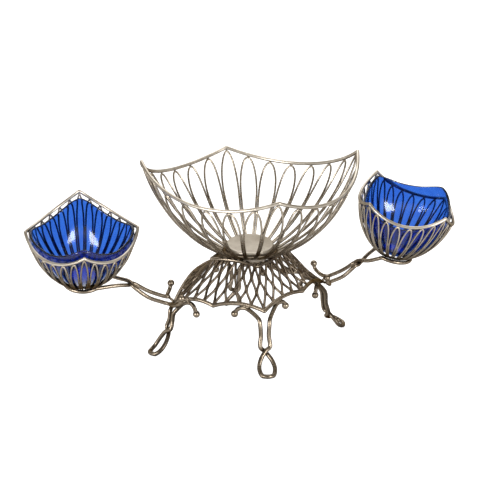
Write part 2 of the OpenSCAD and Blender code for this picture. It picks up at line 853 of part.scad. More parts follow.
// A point of the arm's curled root, which is square to halfway between arm and leg
function arm_root(i, u, v, w) =
    let (out = unit(arm_out(i) + leg_out(i)))
    lower_corner(i) + cross(UP, out) * u + out * v + UP * w;
function knuckle_out(i) = i == LEFT ? left_knuckle_out : right_knuckle_out;
function arm_start_points(i, way) =
    let (
        rest = arm_rest * (rim_bead + arm_wire / 2 + solder_room),
        knuckle = knuckle_out(i)
    )
    [
        arm_root(i, way * arm_ball_half, arm_ball_out, arm_ball_rise),
        arm_root(i, way * (arm_ball_half - hook_side), arm_ball_out - hook_back,
            arm_ball_rise - hook_drop),
        arm_root(i, way * (arm_ball_half - curl_side), curl_out, arm_ball_rise - curl_drop),
        arm_point(i, way * rest.x, rest.y, rest.z),
        arm_point(i, way * arm_half, 0.3 * knuckle, 0.2 * arm_knuckle_rise),
        arm_point(i, way * arm_middle_half, 0.66 * knuckle, 0.5 * arm_knuckle_rise),
        arm_point(i, way * arm_knuckle_half, knuckle, arm_knuckle_rise)
    ];
function arm_cross(i, lift) =
    arm_point(i, 0, knuckle_out(i) + arm_cross_out, arm_knuckle_rise + arm_cross_rise + lift);
function holder_point(i, a) =
    let (
        out = arm_out(i),
        v = out * cos(a) + cross(UP, out) * sin(a)
    )
    holder_at(i) + leaned(v * holder_radius, lean_of(i), lean_to_of(i));
function arm_opening(i, way) =
    let (
        start = arm_cross(i, 0),
        end = holder_point(i, way * (180 - ring_mouth)),
        q = mix(start, end, 0.42)
    )
    q + cross(UP, arm_out(i)) * (way * arm_spread);
function arm_path(i) =
    let (
        pass = (arm_wire + solder_room) / 2,
        out = arm_start_points(i, 1),
        home = arm_start_points(i, -1),
        last = 180 - ring_mouth
    )
    concat(
        bent(concat(out, [arm_cross(i, pass), arm_opening(i, -1),
            holder_point(i, -last)]), bend_steps),
        [for (a = [-last + ring_step : ring_step : last - ring_step / 2]) holder_point(i, a)],
        bent(concat([holder_point(i, last), arm_opening(i, 1), arm_cross(i, -pass)],
            [for (j = [6 : -1 : 0]) home[j]]), bend_steps)
    );

module arm(i) {
    color("silver")
        swept(arm_path(i), arm_wire, wire_sides, UP);
}

module arm_left() { arm(LEFT); }
module arm_right() { arm(RIGHT); }
module arm_balls_left() { end_balls(arm_path(LEFT), arm_wire); }
module arm_balls_right() { end_balls(arm_path(RIGHT), arm_wire); }

top_rim();
lower_rim();
skirt_front_right();
skirt_back_right();
skirt_back_left();
skirt_front_left();
leg_front();
leg_right();
leg_back();
leg_left();
leg_balls_front();
leg_balls_right();
leg_balls_back();
leg_balls_left();
arm_left();
arm_right();
arm_balls_left();
arm_balls_right();
main_rim();
main_loops_front_right();
main_loops_back_right();
main_loops_back_left();
main_loops_front_left();
main_base_ring();
main_floor();
left_rim();
left_loops();
left_base_ring();
left_glass();
right_rim();
right_loops();
right_base_ring();
right_glass();
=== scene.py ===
"""Wirework epergne: a plated stand, three wire baskets and two cobalt glass liners.

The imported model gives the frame. Its base rings, balls and floor plate stay and are dressed, and its
faceted wires and liners are replaced by smooth ones on the same lines. Sizes are millimetres.
"""

import logging
import math
from dataclasses import dataclass
from enum import Enum, IntEnum

import bpy
import numpy as np
from mathutils import Matrix


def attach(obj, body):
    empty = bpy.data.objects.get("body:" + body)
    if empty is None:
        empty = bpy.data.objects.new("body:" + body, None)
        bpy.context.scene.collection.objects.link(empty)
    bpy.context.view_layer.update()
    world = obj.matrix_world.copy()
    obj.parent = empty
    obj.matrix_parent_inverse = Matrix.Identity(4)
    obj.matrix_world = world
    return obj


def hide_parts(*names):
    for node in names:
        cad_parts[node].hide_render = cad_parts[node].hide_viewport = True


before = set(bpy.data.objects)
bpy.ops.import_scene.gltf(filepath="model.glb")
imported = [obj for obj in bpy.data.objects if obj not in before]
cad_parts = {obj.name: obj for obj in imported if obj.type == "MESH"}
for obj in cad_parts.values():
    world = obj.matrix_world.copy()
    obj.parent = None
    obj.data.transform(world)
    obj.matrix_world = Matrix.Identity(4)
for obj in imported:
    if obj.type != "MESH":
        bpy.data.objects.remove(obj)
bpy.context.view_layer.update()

LOG = logging.getLogger("epergne")
MM = 0.001
UP = np.array([0.0, 0.0, 1.0])
EAST = np.array([1.0, 0.0, 0.0])
STEEP = 0.9
SIDES = ("front_right", "back_right", "back_left", "front_left")
Vec = np.ndarray
Two = tuple[float, float]
Three = tuple[float, float, float]
Four = tuple[float, float, float, float]


class Corner(IntEnum):
    """The stand's corners, counted anticlockwise from the front as seen from above."""

    FRONT = 0
    RIGHT = 1
    BACK = 2
    LEFT = 3


class Slot(Enum):
    """The record's material slots."""

    STAND = "stand_wire"
    FINE = "fine_wire"
    BRIGHT = "bright_silver"
    GLASS = "cobalt_glass"


def polar(radius: float, angle: float, height: float) -> Vec:
    """A point from its reach, its compass angle in degrees and its height."""
    turn = math.radians(angle)
    return np.array([radius * math.cos(turn), radius * math.sin(turn), height])


def toward(angle: float, rise: float) -> Vec:
    """The direction at a compass angle and an angle up from the table, in degrees."""
    up = math.radians(rise)
    return polar(math.cos(up), angle, math.sin(up))


def mix(a: Vec | float, b: Vec | float, share: float) -> Vec | float:
    """The value that lies a share of the way from a to b."""
    return a + (b - a) * share


def bow(a: float, b: float, c: float, share: float) -> float:
    """A value on the soft curve from a to c that b pulls towards itself."""
    return mix(mix(a, b, share), mix(b, c, share), share)


def unit(v: Vec) -> Vec:
    """The vector at a length of one."""
    return v / np.linalg.norm(v)


def flat(v: Vec) -> Vec:
    """The vector without its height."""
    return np.array([v[0], v[1], 0.0])


def square_to(way: Vec) -> Vec:
    """A direction square to a way, and level unless the way is steep."""
    return unit(np.cross(way, UP if abs(way[2]) < STEEP else EAST))


def turned(v: Vec, axis: Vec, degrees: float) -> Vec:
    """Turns a vector about an axis.

    Args:
        v: The vector.
        axis: The axis, of length one.
        degrees: The angle.

    Returns:
        The turned vector.
    """
    c, s = math.cos(math.radians(degrees)), math.sin(math.radians(degrees))
    return v * c + np.cross(axis, v) * s + axis * (axis @ v) * (1 - c)


def placed(origin: Vec, out: Vec, at: Three) -> Vec:
    """Finds a point as seen from an origin along a level direction.

    Args:
        origin: Where it is seen from.
        out: The direction.
        at: Its distance to the left, forward and up.

    Returns:
        The point.
    """
    return origin + np.cross(UP, out) * at[0] + out * at[1] + UP * at[2]


def across(line: list[Vec], centre: Vec) -> list[Vec]:
    """The level directions at a line's points that run round a centre."""
    return [unit(np.cross(UP, flat(p - centre))) for p in line]


def bent(points: list[Vec], steps: int) -> list[Vec]:
    """Runs a smooth line through the bends of a wire.

    Args:
        points: The bends, in order.
        steps: Points made for each stretch between two bends.

    Returns:
        The points of the smooth line.
    """
    last = len(points) - 1
    line = []
    for i in range(last):
        a, b = points[max(i - 1, 0)], points[i]
        c, d = points[i + 1], points[min(i + 2, last)]
        for step in range(steps):
            t = step / steps
            line.append(
                b + (c - a) * (t / 2) + (2 * a - 5 * b + 4 * c - d) * (t * t / 2)
                + (3 * b - a - 3 * c + d) * (t**3 / 2)
            )
    return [*line, points[last]]


@dataclass(frozen=True)
class Arc:
    """A piece of a circle in space."""

    centre: Vec
    radius: float
    x: Vec
    y: Vec
    sweep: float

    @classmethod
    def through(cls, a: Vec, m: Vec, b: Vec) -> "Arc":
        """Makes the arc from a by way of m to b.

        Args:
            a: Its start.
            m: A point on its way.
            b: Its end.

        Returns:
            The arc.
        """
        u, v = m - a, b - a
        w = np.cross(u, v)
        centre = a + (np.cross(w, u) * (v @ v) + np.cross(v, w) * (u @ u)) / (2 * (w @ w))
        x = unit(a - centre)
        y = np.cross(unit(w), x)
        sweep = math.atan2((b - centre) @ y, (b - centre) @ x) % math.tau
        return cls(centre, float(np.linalg.norm(a - centre)), x, y, sweep)

    def point(self, share: float) -> Vec:
        """The point at a share of the arc's length."""
        turn = share * self.sweep
        return self.centre + self.radius * (self.x * math.cos(turn) + self.y * math.sin(turn))

    def line(self, steps: int) -> list[Vec]:
        """Points along the arc, both ends included."""
        return [self.point(s / steps) for s in range(steps + 1)]

    def length(self) -> float:
        """The arc's length."""
        return self.radius * self.sweep


@dataclass(frozen=True)
class Place:
    """Where a basket stands: its seat, its lean and its turn."""

    origin: Vec
    lean: float = 0.0
    lean_to: float = 0.0
    drop: float = 0.0
    turn: float = 0.0

    def at(self, p: Vec) -> Vec:
        """Carries a point of the basket to its place on the epergne."""
        q = turned(p, UP, self.turn) - UP * self.drop
        return self.origin + turned(q, polar(1, self.lean_to + 90, 0), self.lean)


def linear(code: str) -> Four:
    """Turns an sRGB hex colour to linear light.

    Args:
        code: The colour, such as "#c8c2b6".

    Returns:
        Red, green, blue and an alpha of one.
    """
    parts = [int(code[i : i + 2], 16) / 255 for i in (1, 3, 5)]
    bright = [c / 12.92 if c <= 0.04045 else ((c + 0.055) / 1.055) ** 2.4 for c in parts]
    return (*bright, 1.0)


def linked(name: str, data: bpy.types.ID) -> bpy.types.Object:
    """Makes an object of a mesh, lamp or camera and links it to the scene."""
    made = bpy.data.objects.new(name, data)
    bpy.context.scene.collection.objects.link(made)
    return made


def fresh_tree(owner: bpy.types.Material | bpy.types.World) -> bpy.types.NodeTree:
    """Switches on the node tree of a material or world and empties it."""
    owner.use_nodes = True
    owner.node_tree.nodes.clear()
    return owner.node_tree


def add_node(tree: bpy.types.NodeTree, kind: str, settings: dict | None = None,
             links: dict | None = None) -> bpy.types.Node:
    """Adds a node with its settings and links.

    Args:
        tree: The node tree that it goes into.
        kind: The node's type name.
        settings: Values by attribute, or by the name or number of an input.
        links: Output sockets by the name or number of the input that they feed.

    Returns:
        The new node.
    """
    node = tree.nodes.new(kind)
    for key, value in (settings or {}).items():
        if isinstance(key, str) and hasattr(node, key):
            setattr(node, key, value)
        else:
            node.inputs[key].default_value = value
    for key, source in (links or {}).items():
        tree.links.new(source, node.inputs[key])
    return node


def noise(tree: bpy.types.NodeTree, size: float, settings: dict) -> bpy.types.NodeSocket:
    """Cloudy marks that are this many millimetres across."""
    where = add_node(tree, "ShaderNodeTexCoord").outputs["Object"]
    marks = {"Scale": 1 / (size * MM), **settings}
    return add_node(tree, "ShaderNodeTexNoise", marks, {"Vector": where}).outputs["Fac"]


def remap(tree: bpy.types.NodeTree, value: bpy.types.NodeSocket, source: Two = (0.0, 1.0),
          target: Two = (0.0, 1.0), kind: str = "LINEAR") -> bpy.types.NodeSocket:
    """Carries a value from one range to another.

    Args:
        tree: The node tree.
        value: The value.
        source: The range that it is read in.
        target: The range that it is carried to.
        kind: How it runs between the two ends.

    Returns:
        The new value.
    """
    ends = {"interpolation_type": kind, "From Min": source[0], "From Max": source[1],
            "To Min": target[0], "To Max": target[1]}
    return add_node(tree, "ShaderNodeMapRange", ends, {"Value": value}).outputs[0]


def blend(tree: bpy.types.NodeTree, share: bpy.types.NodeSocket, colours: dict,
          links: dict | None = None) -> bpy.types.NodeSocket:
    """Mixes two colours.

    Args:
        tree: The node tree.
        share: The share of the second colour.
        colours: Plain colours, at 6 for the first and 7 for the second.
        links: Sockets that give a colour, at the same numbers.

    Returns:
        The mixed colour.
    """
    sources = {0: share, **(links or {})}
    return add_node(tree, "ShaderNodeMix", {"data_type": "RGBA", **colours}, sources).outputs[2]


def figure(tree: bpy.types.NodeTree, kind: str, *values: bpy.types.NodeSocket) -> bpy.types.NodeSocket:
    """One value worked out from others, such as their product."""
    return add_node(tree, "ShaderNodeMath", {"operation": kind}, dict(enumerate(values))).outputs[0]


@dataclass(frozen=True)
class SilverPlate:
    """Silver plate on drawn and soldered wire, polished by hand with a cloth.

    Its colour carries painted shade: darker on the undersides, on the wires' sides that face the next
    wire and in the joints, where tarnish also gathers. Tarnish stays brown in soft patches, and a haze
    of fine rubbing marks breaks up the highlights.
    """

    name: str
    polished: str = "#958979"
    tarnished: str = "#5f5345"
    # deep is the dark brown that the painted shade mixes the metal towards
    deep: str = "#1f1812"
    edge: str = "#8f8271"
    smooth: float = 0.22
    hazy: float = 0.34
    patch: float = 16.0
    patch_edges: Two = (0.36, 0.62)
    least_polish: float = 0.35
    rub: float = 2.0
    relief: float = 0.03
    # underside, wire_side, between, joint and joint_edges place the painted shade, and least_open is
    # the share of the metal's colour kept in the deepest joints
    underside: Two = (-1.0, -0.35)
    wire_side: float = 0.5
    between: float = 0.75
    joint: float = 5.0
    joint_edges: Two = (0.25, 0.8)
    least_open: float = 0.25

    def make(self) -> bpy.types.Material:
        """Builds the material and returns it."""
        material = bpy.data.materials.new(self.name)
        tree = fresh_tree(material)
        patches = noise(tree, self.patch, {"Detail": 4.0, "Roughness": 0.6})
        rubbing = noise(tree, self.rub, {"Detail": 3.0})
        worn = remap(tree, patches, self.patch_edges, (self.least_polish, 1.0))
        metal = blend(tree, worn, {6: linear(self.tarnished), 7: linear(self.polished)})
        # Painted shade: the colour darkens to the deep brown on faces that turn down
        normal = add_node(tree, "ShaderNodeNewGeometry").outputs["Normal"]
        facing = add_node(tree, "ShaderNodeSeparateXYZ", None, {0: normal}).outputs["Z"]
        painted_shade_below = remap(tree, facing, self.underside, kind="SMOOTHSTEP")
        # Painted shade: the colour darkens on the sides of each wire that face the next wire
        aside = add_node(tree, "ShaderNodeAttribute", {"attribute_name": WireMesh.BETWEEN})
        painted_shade_aside = remap(tree, aside.outputs["Fac"], (self.wire_side, 1.0), (1.0, 1.0 - self.between),
                      "SMOOTHSTEP")
        # Painted shade from ambient occlusion darkens the joints and the gaps between wires, along
        # with the tarnish that gathers there
        near = {"samples": 6, "Distance": self.joint * MM}
        gap = add_node(tree, "ShaderNodeAmbientOcclusion", near).outputs["AO"]
        painted_shade_joints = remap(tree, gap, self.joint_edges, (self.least_open, 1.0))
        # outside and clean are the share of the metal's own colour kept against the painted shade
        outside = figure(tree, "MULTIPLY", painted_shade_below, painted_shade_aside)
        clean = figure(tree, "MULTIPLY", outside, painted_shade_joints)
        marks = {"Strength": self.relief, "Distance": MM}
        shader = add_node(
            tree, "ShaderNodeBsdfPrincipled",
            {"Metallic": 1.0, "Specular Tint": linear(self.edge)},
            {
                "Base Color": blend(tree, clean, {6: linear(self.deep)}, {7: metal}),
                "Roughness": remap(tree, rubbing, target=(self.smooth, self.hazy)),
                "Normal": add_node(tree, "ShaderNodeBump", marks, {"Height": rubbing}).outputs[0],
            },
        )
        add_node(tree, "ShaderNodeOutputMaterial", None, {"Surface": shader.outputs[0]})
        return material


@dataclass(frozen=True)
class CobaltGlass:
    """Cobalt glass, blown into a mould and fire polished.

    One wall shows a clear mid blue and two walls a deep violet blue, with faint streaks where the
    colour ran thick, a slow waviness from the mould and a hard bright gloss.
    """

    name: str
    thin: str = "#356cc8"
    thick: str = "#234db4"
    streak: float = 22.0
    wave: float = 20.0
    relief: float = 0.03
    polish: float = 0.09
    smear: float = 0.13
    bend: float = 1.5

    def make(self) -> bpy.types.Material:
        """Builds the material and returns it."""
        material = bpy.data.materials.new(self.name)
        tree = fresh_tree(material)
        streaks = noise(tree, self.streak, {"Detail": 3.0, "Distortion": 1.2})
        waves = noise(tree, self.wave, {"Detail": 1.0})
        mould = {"Strength": self.relief, "Distance": MM}
        shader = add_node(
            tree, "ShaderNodeBsdfPrincipled", {"Transmission Weight": 1.0, "IOR": self.bend},
            {
                "Base Color": blend(tree, streaks, {6: linear(self.thin), 7: linear(self.thick)}),
                "Roughness": remap(tree, streaks, target=(self.polish, self.smear)),
                "Normal": add_node(tree, "ShaderNodeBump", mould, {"Height": waves}).outputs[0],
            },
        )
        add_node(tree, "ShaderNodeOutputMaterial", None, {"Surface": shader.outputs[0]})
        return material


class Finishes:
    """The materials of the epergne, made once."""

    def __init__(self) -> None:
        """Makes each of them."""
        self.stand = SilverPlate("silver_plate_drawn_wire").make()
        self.fine = SilverPlate(
            "silver_plate_fine_wire", polished="#cfc4b4", tarnished="#978b7b").make()
        self.lattice = SilverPlate(
            "silver_plate_dull_wire", polished="#9a8c7c", tarnished="#62564a").make()
        self.bright = SilverPlate(
            "silver_plate_burnished", polished="#d2cabd", tarnished="#a59b8d", smooth=0.24, hazy=0.36,
            patch=24.0).make()
        self.glass = CobaltGlass("cobalt_glass_moulded").make()


class WireMesh:
    """Gathers round wires, solder and surfaces, in millimetres, into one clean mesh."""

    DOME_RINGS = 2
    SOLDER_SIDES = 8
    SOLDER_STEPS = 6
    # The attribute that places the silver's painted shade on the wires' sides
    BETWEEN = "between"

    def __init__(self) -> None:
        """Starts with nothing in it."""
        self.points: list[Vec] = []
        self.faces: list[tuple[int, ...]] = []
        self.between: list[float] = []

    def rings(self, rings: list[Vec], first: Vec, last: Vec,
              between: list[float] | None = None) -> None:
        """Skins a closed form from rings of points between two poles.

        Args:
            rings: Arrays of points, each anticlockwise when seen from the last pole.
            first: The pole before the first ring.
            last: The pole after the last ring.
            between: How far each ring point faces the next wire, from 0 to 1, if it does.
        """
        start, sides, count = len(self.points), len(rings[0]), len(rings)
        for ring in rings:
            self.points.extend(ring)
        self.points.extend([first, last])
        self.between.extend([*(between or [0.0] * (count * sides)), 0.0, 0.0])
        low, high = start + count * sides, start + count * sides + 1
        end = start + (count - 1) * sides
        for s in range(sides):
            n = (s + 1) % sides
            for i in range(count - 1):
                a = start + i * sides
                self.faces.append((a + s, a + n, a + sides + n, a + sides + s))
            self.faces.append((start + n, start + s, low))
            self.faces.append((end + s, end + n, high))

    def wire(self, path: list[Vec], gauge: float, sides: int,
             beside: list[Vec] | None = None) -> None:
        """Sweeps a round wire with domed ends.

        Args:
            path: Points along the middle of the wire.
            gauge: Its diameter.
            sides: Points around it.
            beside: The direction towards the next wire at each point, if there is one.
        """
        line, radius, ends = np.array(path), gauge / 2, self.DOME_RINGS
        ways = np.gradient(line, axis=0)
        ways /= np.linalg.norm(ways, axis=1)[:, None]
        around = np.linspace(0, math.tau, sides, endpoint=False)
        cos, sin = np.cos(around)[:, None], np.sin(around)[:, None]
        side = square_to(ways[0])
        loops = []
        for way in ways:
            side = unit(side - way * (side @ way))
            loops.append((side * cos + np.cross(way, side) * sin) * radius)
        domes = [math.pi / 2 * k / (ends + 1) for k in range(1, ends + 1)]
        body = [p + loop for p, loop in zip(line, loops)]
        front = [line[0] - ways[0] * radius * math.sin(d) + loops[0] * math.cos(d)
                 for d in reversed(domes)]
        back = [line[-1] + ways[-1] * radius * math.sin(d) + loops[-1] * math.cos(d)
                for d in domes]
        between = None
        if beside is not None:
            facing = [np.abs(loop @ b) / radius for loop, b in zip(loops, beside)]
            facing = [facing[0]] * ends + facing + [facing[-1]] * ends
            between = np.concatenate(facing).tolist()
        tips = line[0] - ways[0] * radius, line[-1] + ways[-1] * radius
        self.rings([*front, *body, *back], *tips, between)

    def solder(self, at: Vec, along: Vec, size: Two) -> None:
        """Adds one drop of solder, drawn out along a joint.

        Args:
            at: Its middle.
            along: The direction of the joint.
            size: Its half length and half thickness.
        """
        (reach, girth), way = size, unit(along)
        side = square_to(way)
        around = np.linspace(0, math.tau, self.SOLDER_SIDES, endpoint=False)[:, None]
        loop = side * np.cos(around) + np.cross(way, side) * np.sin(around)
        turns = [math.pi * k / self.SOLDER_STEPS for k in range(1, self.SOLDER_STEPS)]
        body = [at - way * reach * math.cos(t) + loop * girth * math.sin(t) for t in turns]
        self.rings(body, at - way * reach, at + way * reach)

    def piece(self, name: str, body: str, slot: Slot, finish: bpy.types.Material, node: str) -> None:
        """Makes the mesh an object that rides on a body.

        Args:
            name: The piece's name.
            body: The body that it moves with.
            slot: The material slot that it belongs to; not used.
            finish: Its material.
            node: The node of the model that it stands for.
        """
        mesh = bpy.data.meshes.new(name)
        mesh.from_pydata([tuple(p * MM) for p in self.points], [], self.faces)
        mesh.shade_smooth()
        mesh.attributes.new(self.BETWEEN, "FLOAT", "POINT").data.foreach_set("value", self.between)
        mesh.materials.append(finish)
        made = linked(name, mesh)
        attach(made, body)
        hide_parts(node)
        LOG.info("%s: %d faces on %s", name, len(self.faces), body)


@dataclass(frozen=True)
class Gauge:
    """The wires that the epergne is bent from, as measured and as thick as they show."""

    heavy: float = 4.0
    lattice: float = 2.7
    leg_shown: float = 4.6
    arm_shown: float = 4.3
    rim_shown: float = 4.3
    rim_steps: int = 40
    bead: float = 0.6
    room: float = 0.15
    heavy_sides: int = 16
    fine_sides: int = 10


@dataclass(frozen=True)
class Stand:
    """The two rims of the stand, which everything else is soldered to.

    Pairs of sizes are for the corners or sides that are even and odd.
    """

    gauge: Gauge
    lower_heights: Two = (64.0, 55.5)
    lower_reach: float = 88.0
    cusp_heights: Two = (70.0, 58.5)
    cusp_reach: float = 68.0
    cusp_turn: float = -7.0
    arch_rise: float = 5.5
    top_height: float = 99.0
    top_reach: float = 45.0
    top_side_reach: float = 29.5
    turn: float = 3.0
    skew: float = 7.5

    def corner_angle(self, i: int) -> float:
        """Compass angle of a corner."""
        return 90 * (i - 1) + self.turn + (-self.skew if i % 2 == 0 else self.skew)

    def side_angle(self, i: int) -> float:
        """Compass angle of the middle of the side after a corner."""
        return (self.corner_angle(i) + self.corner_angle(i + 1)) / 2

    def corner(self, i: int) -> Vec:
        """A corner of the lower rim."""
        return polar(self.lower_reach, self.corner_angle(i), self.lower_heights[i % 2])

    def cusp(self, i: int) -> Vec:
        """The cusp in the middle of a lower side."""
        return polar(self.cusp_reach, self.side_angle(i) + self.cusp_turn, self.cusp_heights[i % 2])

    def arch(self, a: Vec, b: Vec) -> Arc:
        """One arch of the lower rim."""
        return Arc.through(a, (a + b) / 2 + UP * self.arch_rise, b)

    def first_arch(self, i: int) -> Arc:
        """The arch from a corner to the cusp after it."""
        return self.arch(self.corner(i), self.cusp(i))

    def second_arch(self, i: int) -> Arc:
        """The arch from a cusp to the corner after it."""
        return self.arch(self.cusp(i), self.corner(i + 1))

    def lower_point(self, i: int, share: float) -> Vec:
        """A point along a side of the lower rim."""
        if share < 0.5:
            return self.first_arch(i).point(2 * share)
        return self.second_arch(i).point(2 * share - 1)

    def top_arc(self, i: int) -> Arc:
        """The bowed side of the top rim after a corner."""
        return Arc.through(
            polar(self.top_reach, self.corner_angle(i), self.top_height),
            polar(self.top_side_reach, self.side_angle(i), self.top_height),
            polar(self.top_reach, self.corner_angle(i + 1), self.top_height),
        )

    def build(self, finishes: Finishes) -> None:
        """Builds the two rims, whose arcs are soldered end to end."""
        lower = [arch(i) for i in range(4) for arch in (self.first_arch, self.second_arch)]
        top = [self.top_arc(i) for i in range(4)]
        for name, arcs in (("lower_rim", lower), ("top_rim", top)):
            mesh = WireMesh()
            for arc in arcs:
                mesh.wire(arc.line(self.gauge.rim_steps), self.gauge.rim_shown, self.gauge.heavy_sides)
            mesh.piece(f"{name}_wire", "stand", Slot.STAND, finishes.stand, name)


@dataclass(frozen=True)
class Skirt:
    """The lattice of wavy wires between the stand's rims."""

    stand: Stand
    points: int = 8
    waves: float = 2.9
    hollow: float = 2.0
    steps: int = 58
    sunk: float = 0.5
    touch: float = 1.2
    gather: float = 1.3
    drop: Two = (1.9, 0.8)

    def gathered(self, i: int, share: float) -> float:
        """The share along the top rim, where the wires crowd towards the arms."""
        share = min(max(share, 0.0), 1.0)
        return share**self.gather if i % 2 else 1 - (1 - share) ** self.gather

    def point(self, i: int, share: float, height: float) -> Vec:
        """A point of the skirt's surface, from its share along a side and up it."""
        high = self.stand.top_arc(i).point(self.gathered(i, share))
        p = mix(self.stand.lower_point(i, share), high, height)
        return p - unit(flat(p)) * (self.hollow * 4 * height * (1 - height))

    def rise(self, i: int, k: int) -> Vec:
        """The way up the skirt at a lattice point."""
        return self.point(i, k / self.points, 1) - self.point(i, k / self.points, 0)

    def step(self, i: int, k: int, way: int, height: float) -> Vec:
        """The way from one lattice point to the next."""
        here = self.point(i, k / self.points, height)
        return self.point(i, (k + way) / self.points, height) - here

    def pitch(self, i: int, k: int, way: int, height: float) -> Vec:
        """The part of a step that is square to the rising wires."""
        step, rise = self.step(i, k, way, height), unit(self.rise(i, k))
        return step - rise * (step @ rise)

    def beyond(self, i: int, k: int, way: int, height: float) -> Vec:
        """The same on the far side of a lattice point, on the next panel at a corner."""
        if k - way < 0:
            return self.pitch(i + 3, self.points, -1, height)
        if k - way > self.points:
            return self.pitch(i + 1, 0, 1, height)
        return self.pitch(i, k, -way, height)

    def fold(self, i: int, k: int, way: int, height: float) -> float:
        """How much further off a fold two wires stay than on a flat panel."""
        here = unit(self.pitch(i, k, way, height))
        return 1 / math.sqrt((1 - here @ unit(self.beyond(i, k, way, height))) / 2)

    def rim_room(self, i: int, k: int, way: int, height: int) -> float:
        """How far short of a rim's middle a wire stops, as a share of its rise."""
        gauge = self.stand.gauge
        square = np.linalg.norm(self.pitch(i, k, way, height))
        square /= np.linalg.norm(self.step(i, k, way, height))
        thick = gauge.heavy / 2 + (gauge.bead if k % (self.points / 2) == 0 else 0)
        slant = gauge.lattice / 2 * math.sqrt(1 - square * square)
        return (thick + 2 * gauge.room + slant) / square / np.linalg.norm(self.rise(i, k))

    def wave(self, i: int, k: int, way: int) -> list[Vec]:
        """The line of one wavy wire.

        Args:
            i: The corner before its panel.
            k: The lattice point that it starts beside.
            way: The side of that point it lies on, 1 or -1.

        Returns:
            Points from the lower rim to the top rim.
        """
        low, short = (self.sunk * self.rim_room(i, k, way, end) for end in (0, 1))
        line = []
        for s in range(self.steps + 1):
            q = s / self.steps
            height = mix(low, 1 - short, q)
            half = self.touch / 2 / np.linalg.norm(self.pitch(i, k, way, height))
            swing = (1 - math.cos(math.pi * self.waves * q)) / 2
            x = mix(self.fold(i, k, way, height) * half, 0.5 - half, swing)
            line.append(self.point(i, (k + way * x) / self.points, height))
        return line

    def join(self, mesh: WireMesh, a: list[Vec], b: list[Vec], at: int) -> None:
        """Solders two wavy wires at the numbered point where they touch."""
        along = a[min(at + 2, self.steps)] - a[max(at - 2, 0)]
        mesh.solder((a[at] + b[at]) / 2, along, self.drop)

    def build(self, finishes: Finishes) -> None:
        """Builds the four panels with the solder where their wires meet."""
        gauge, swing = self.stand.gauge, round(self.steps / self.waves)
        for i, panel in enumerate(SIDES):
            mesh = WireMesh()
            right = [self.wave(i, k, 1) for k in range(self.points)]
            left = [self.wave(i, k + 1, -1) for k in range(self.points)]
            for line in [*right, *left]:
                mesh.wire(line, gauge.lattice, gauge.fine_sides, across(line, np.zeros(3)))
            for k in range(self.points):
                self.join(mesh, right[k], left[k], swing)
                if k:
                    self.join(mesh, left[k - 1], right[k], 2 * swing)
                    self.join(mesh, left[k - 1], right[k], 0)
            mesh.piece(f"skirt_lattice_{panel}", "stand", Slot.FINE, finishes.lattice,
                       f"skirt_{panel}")


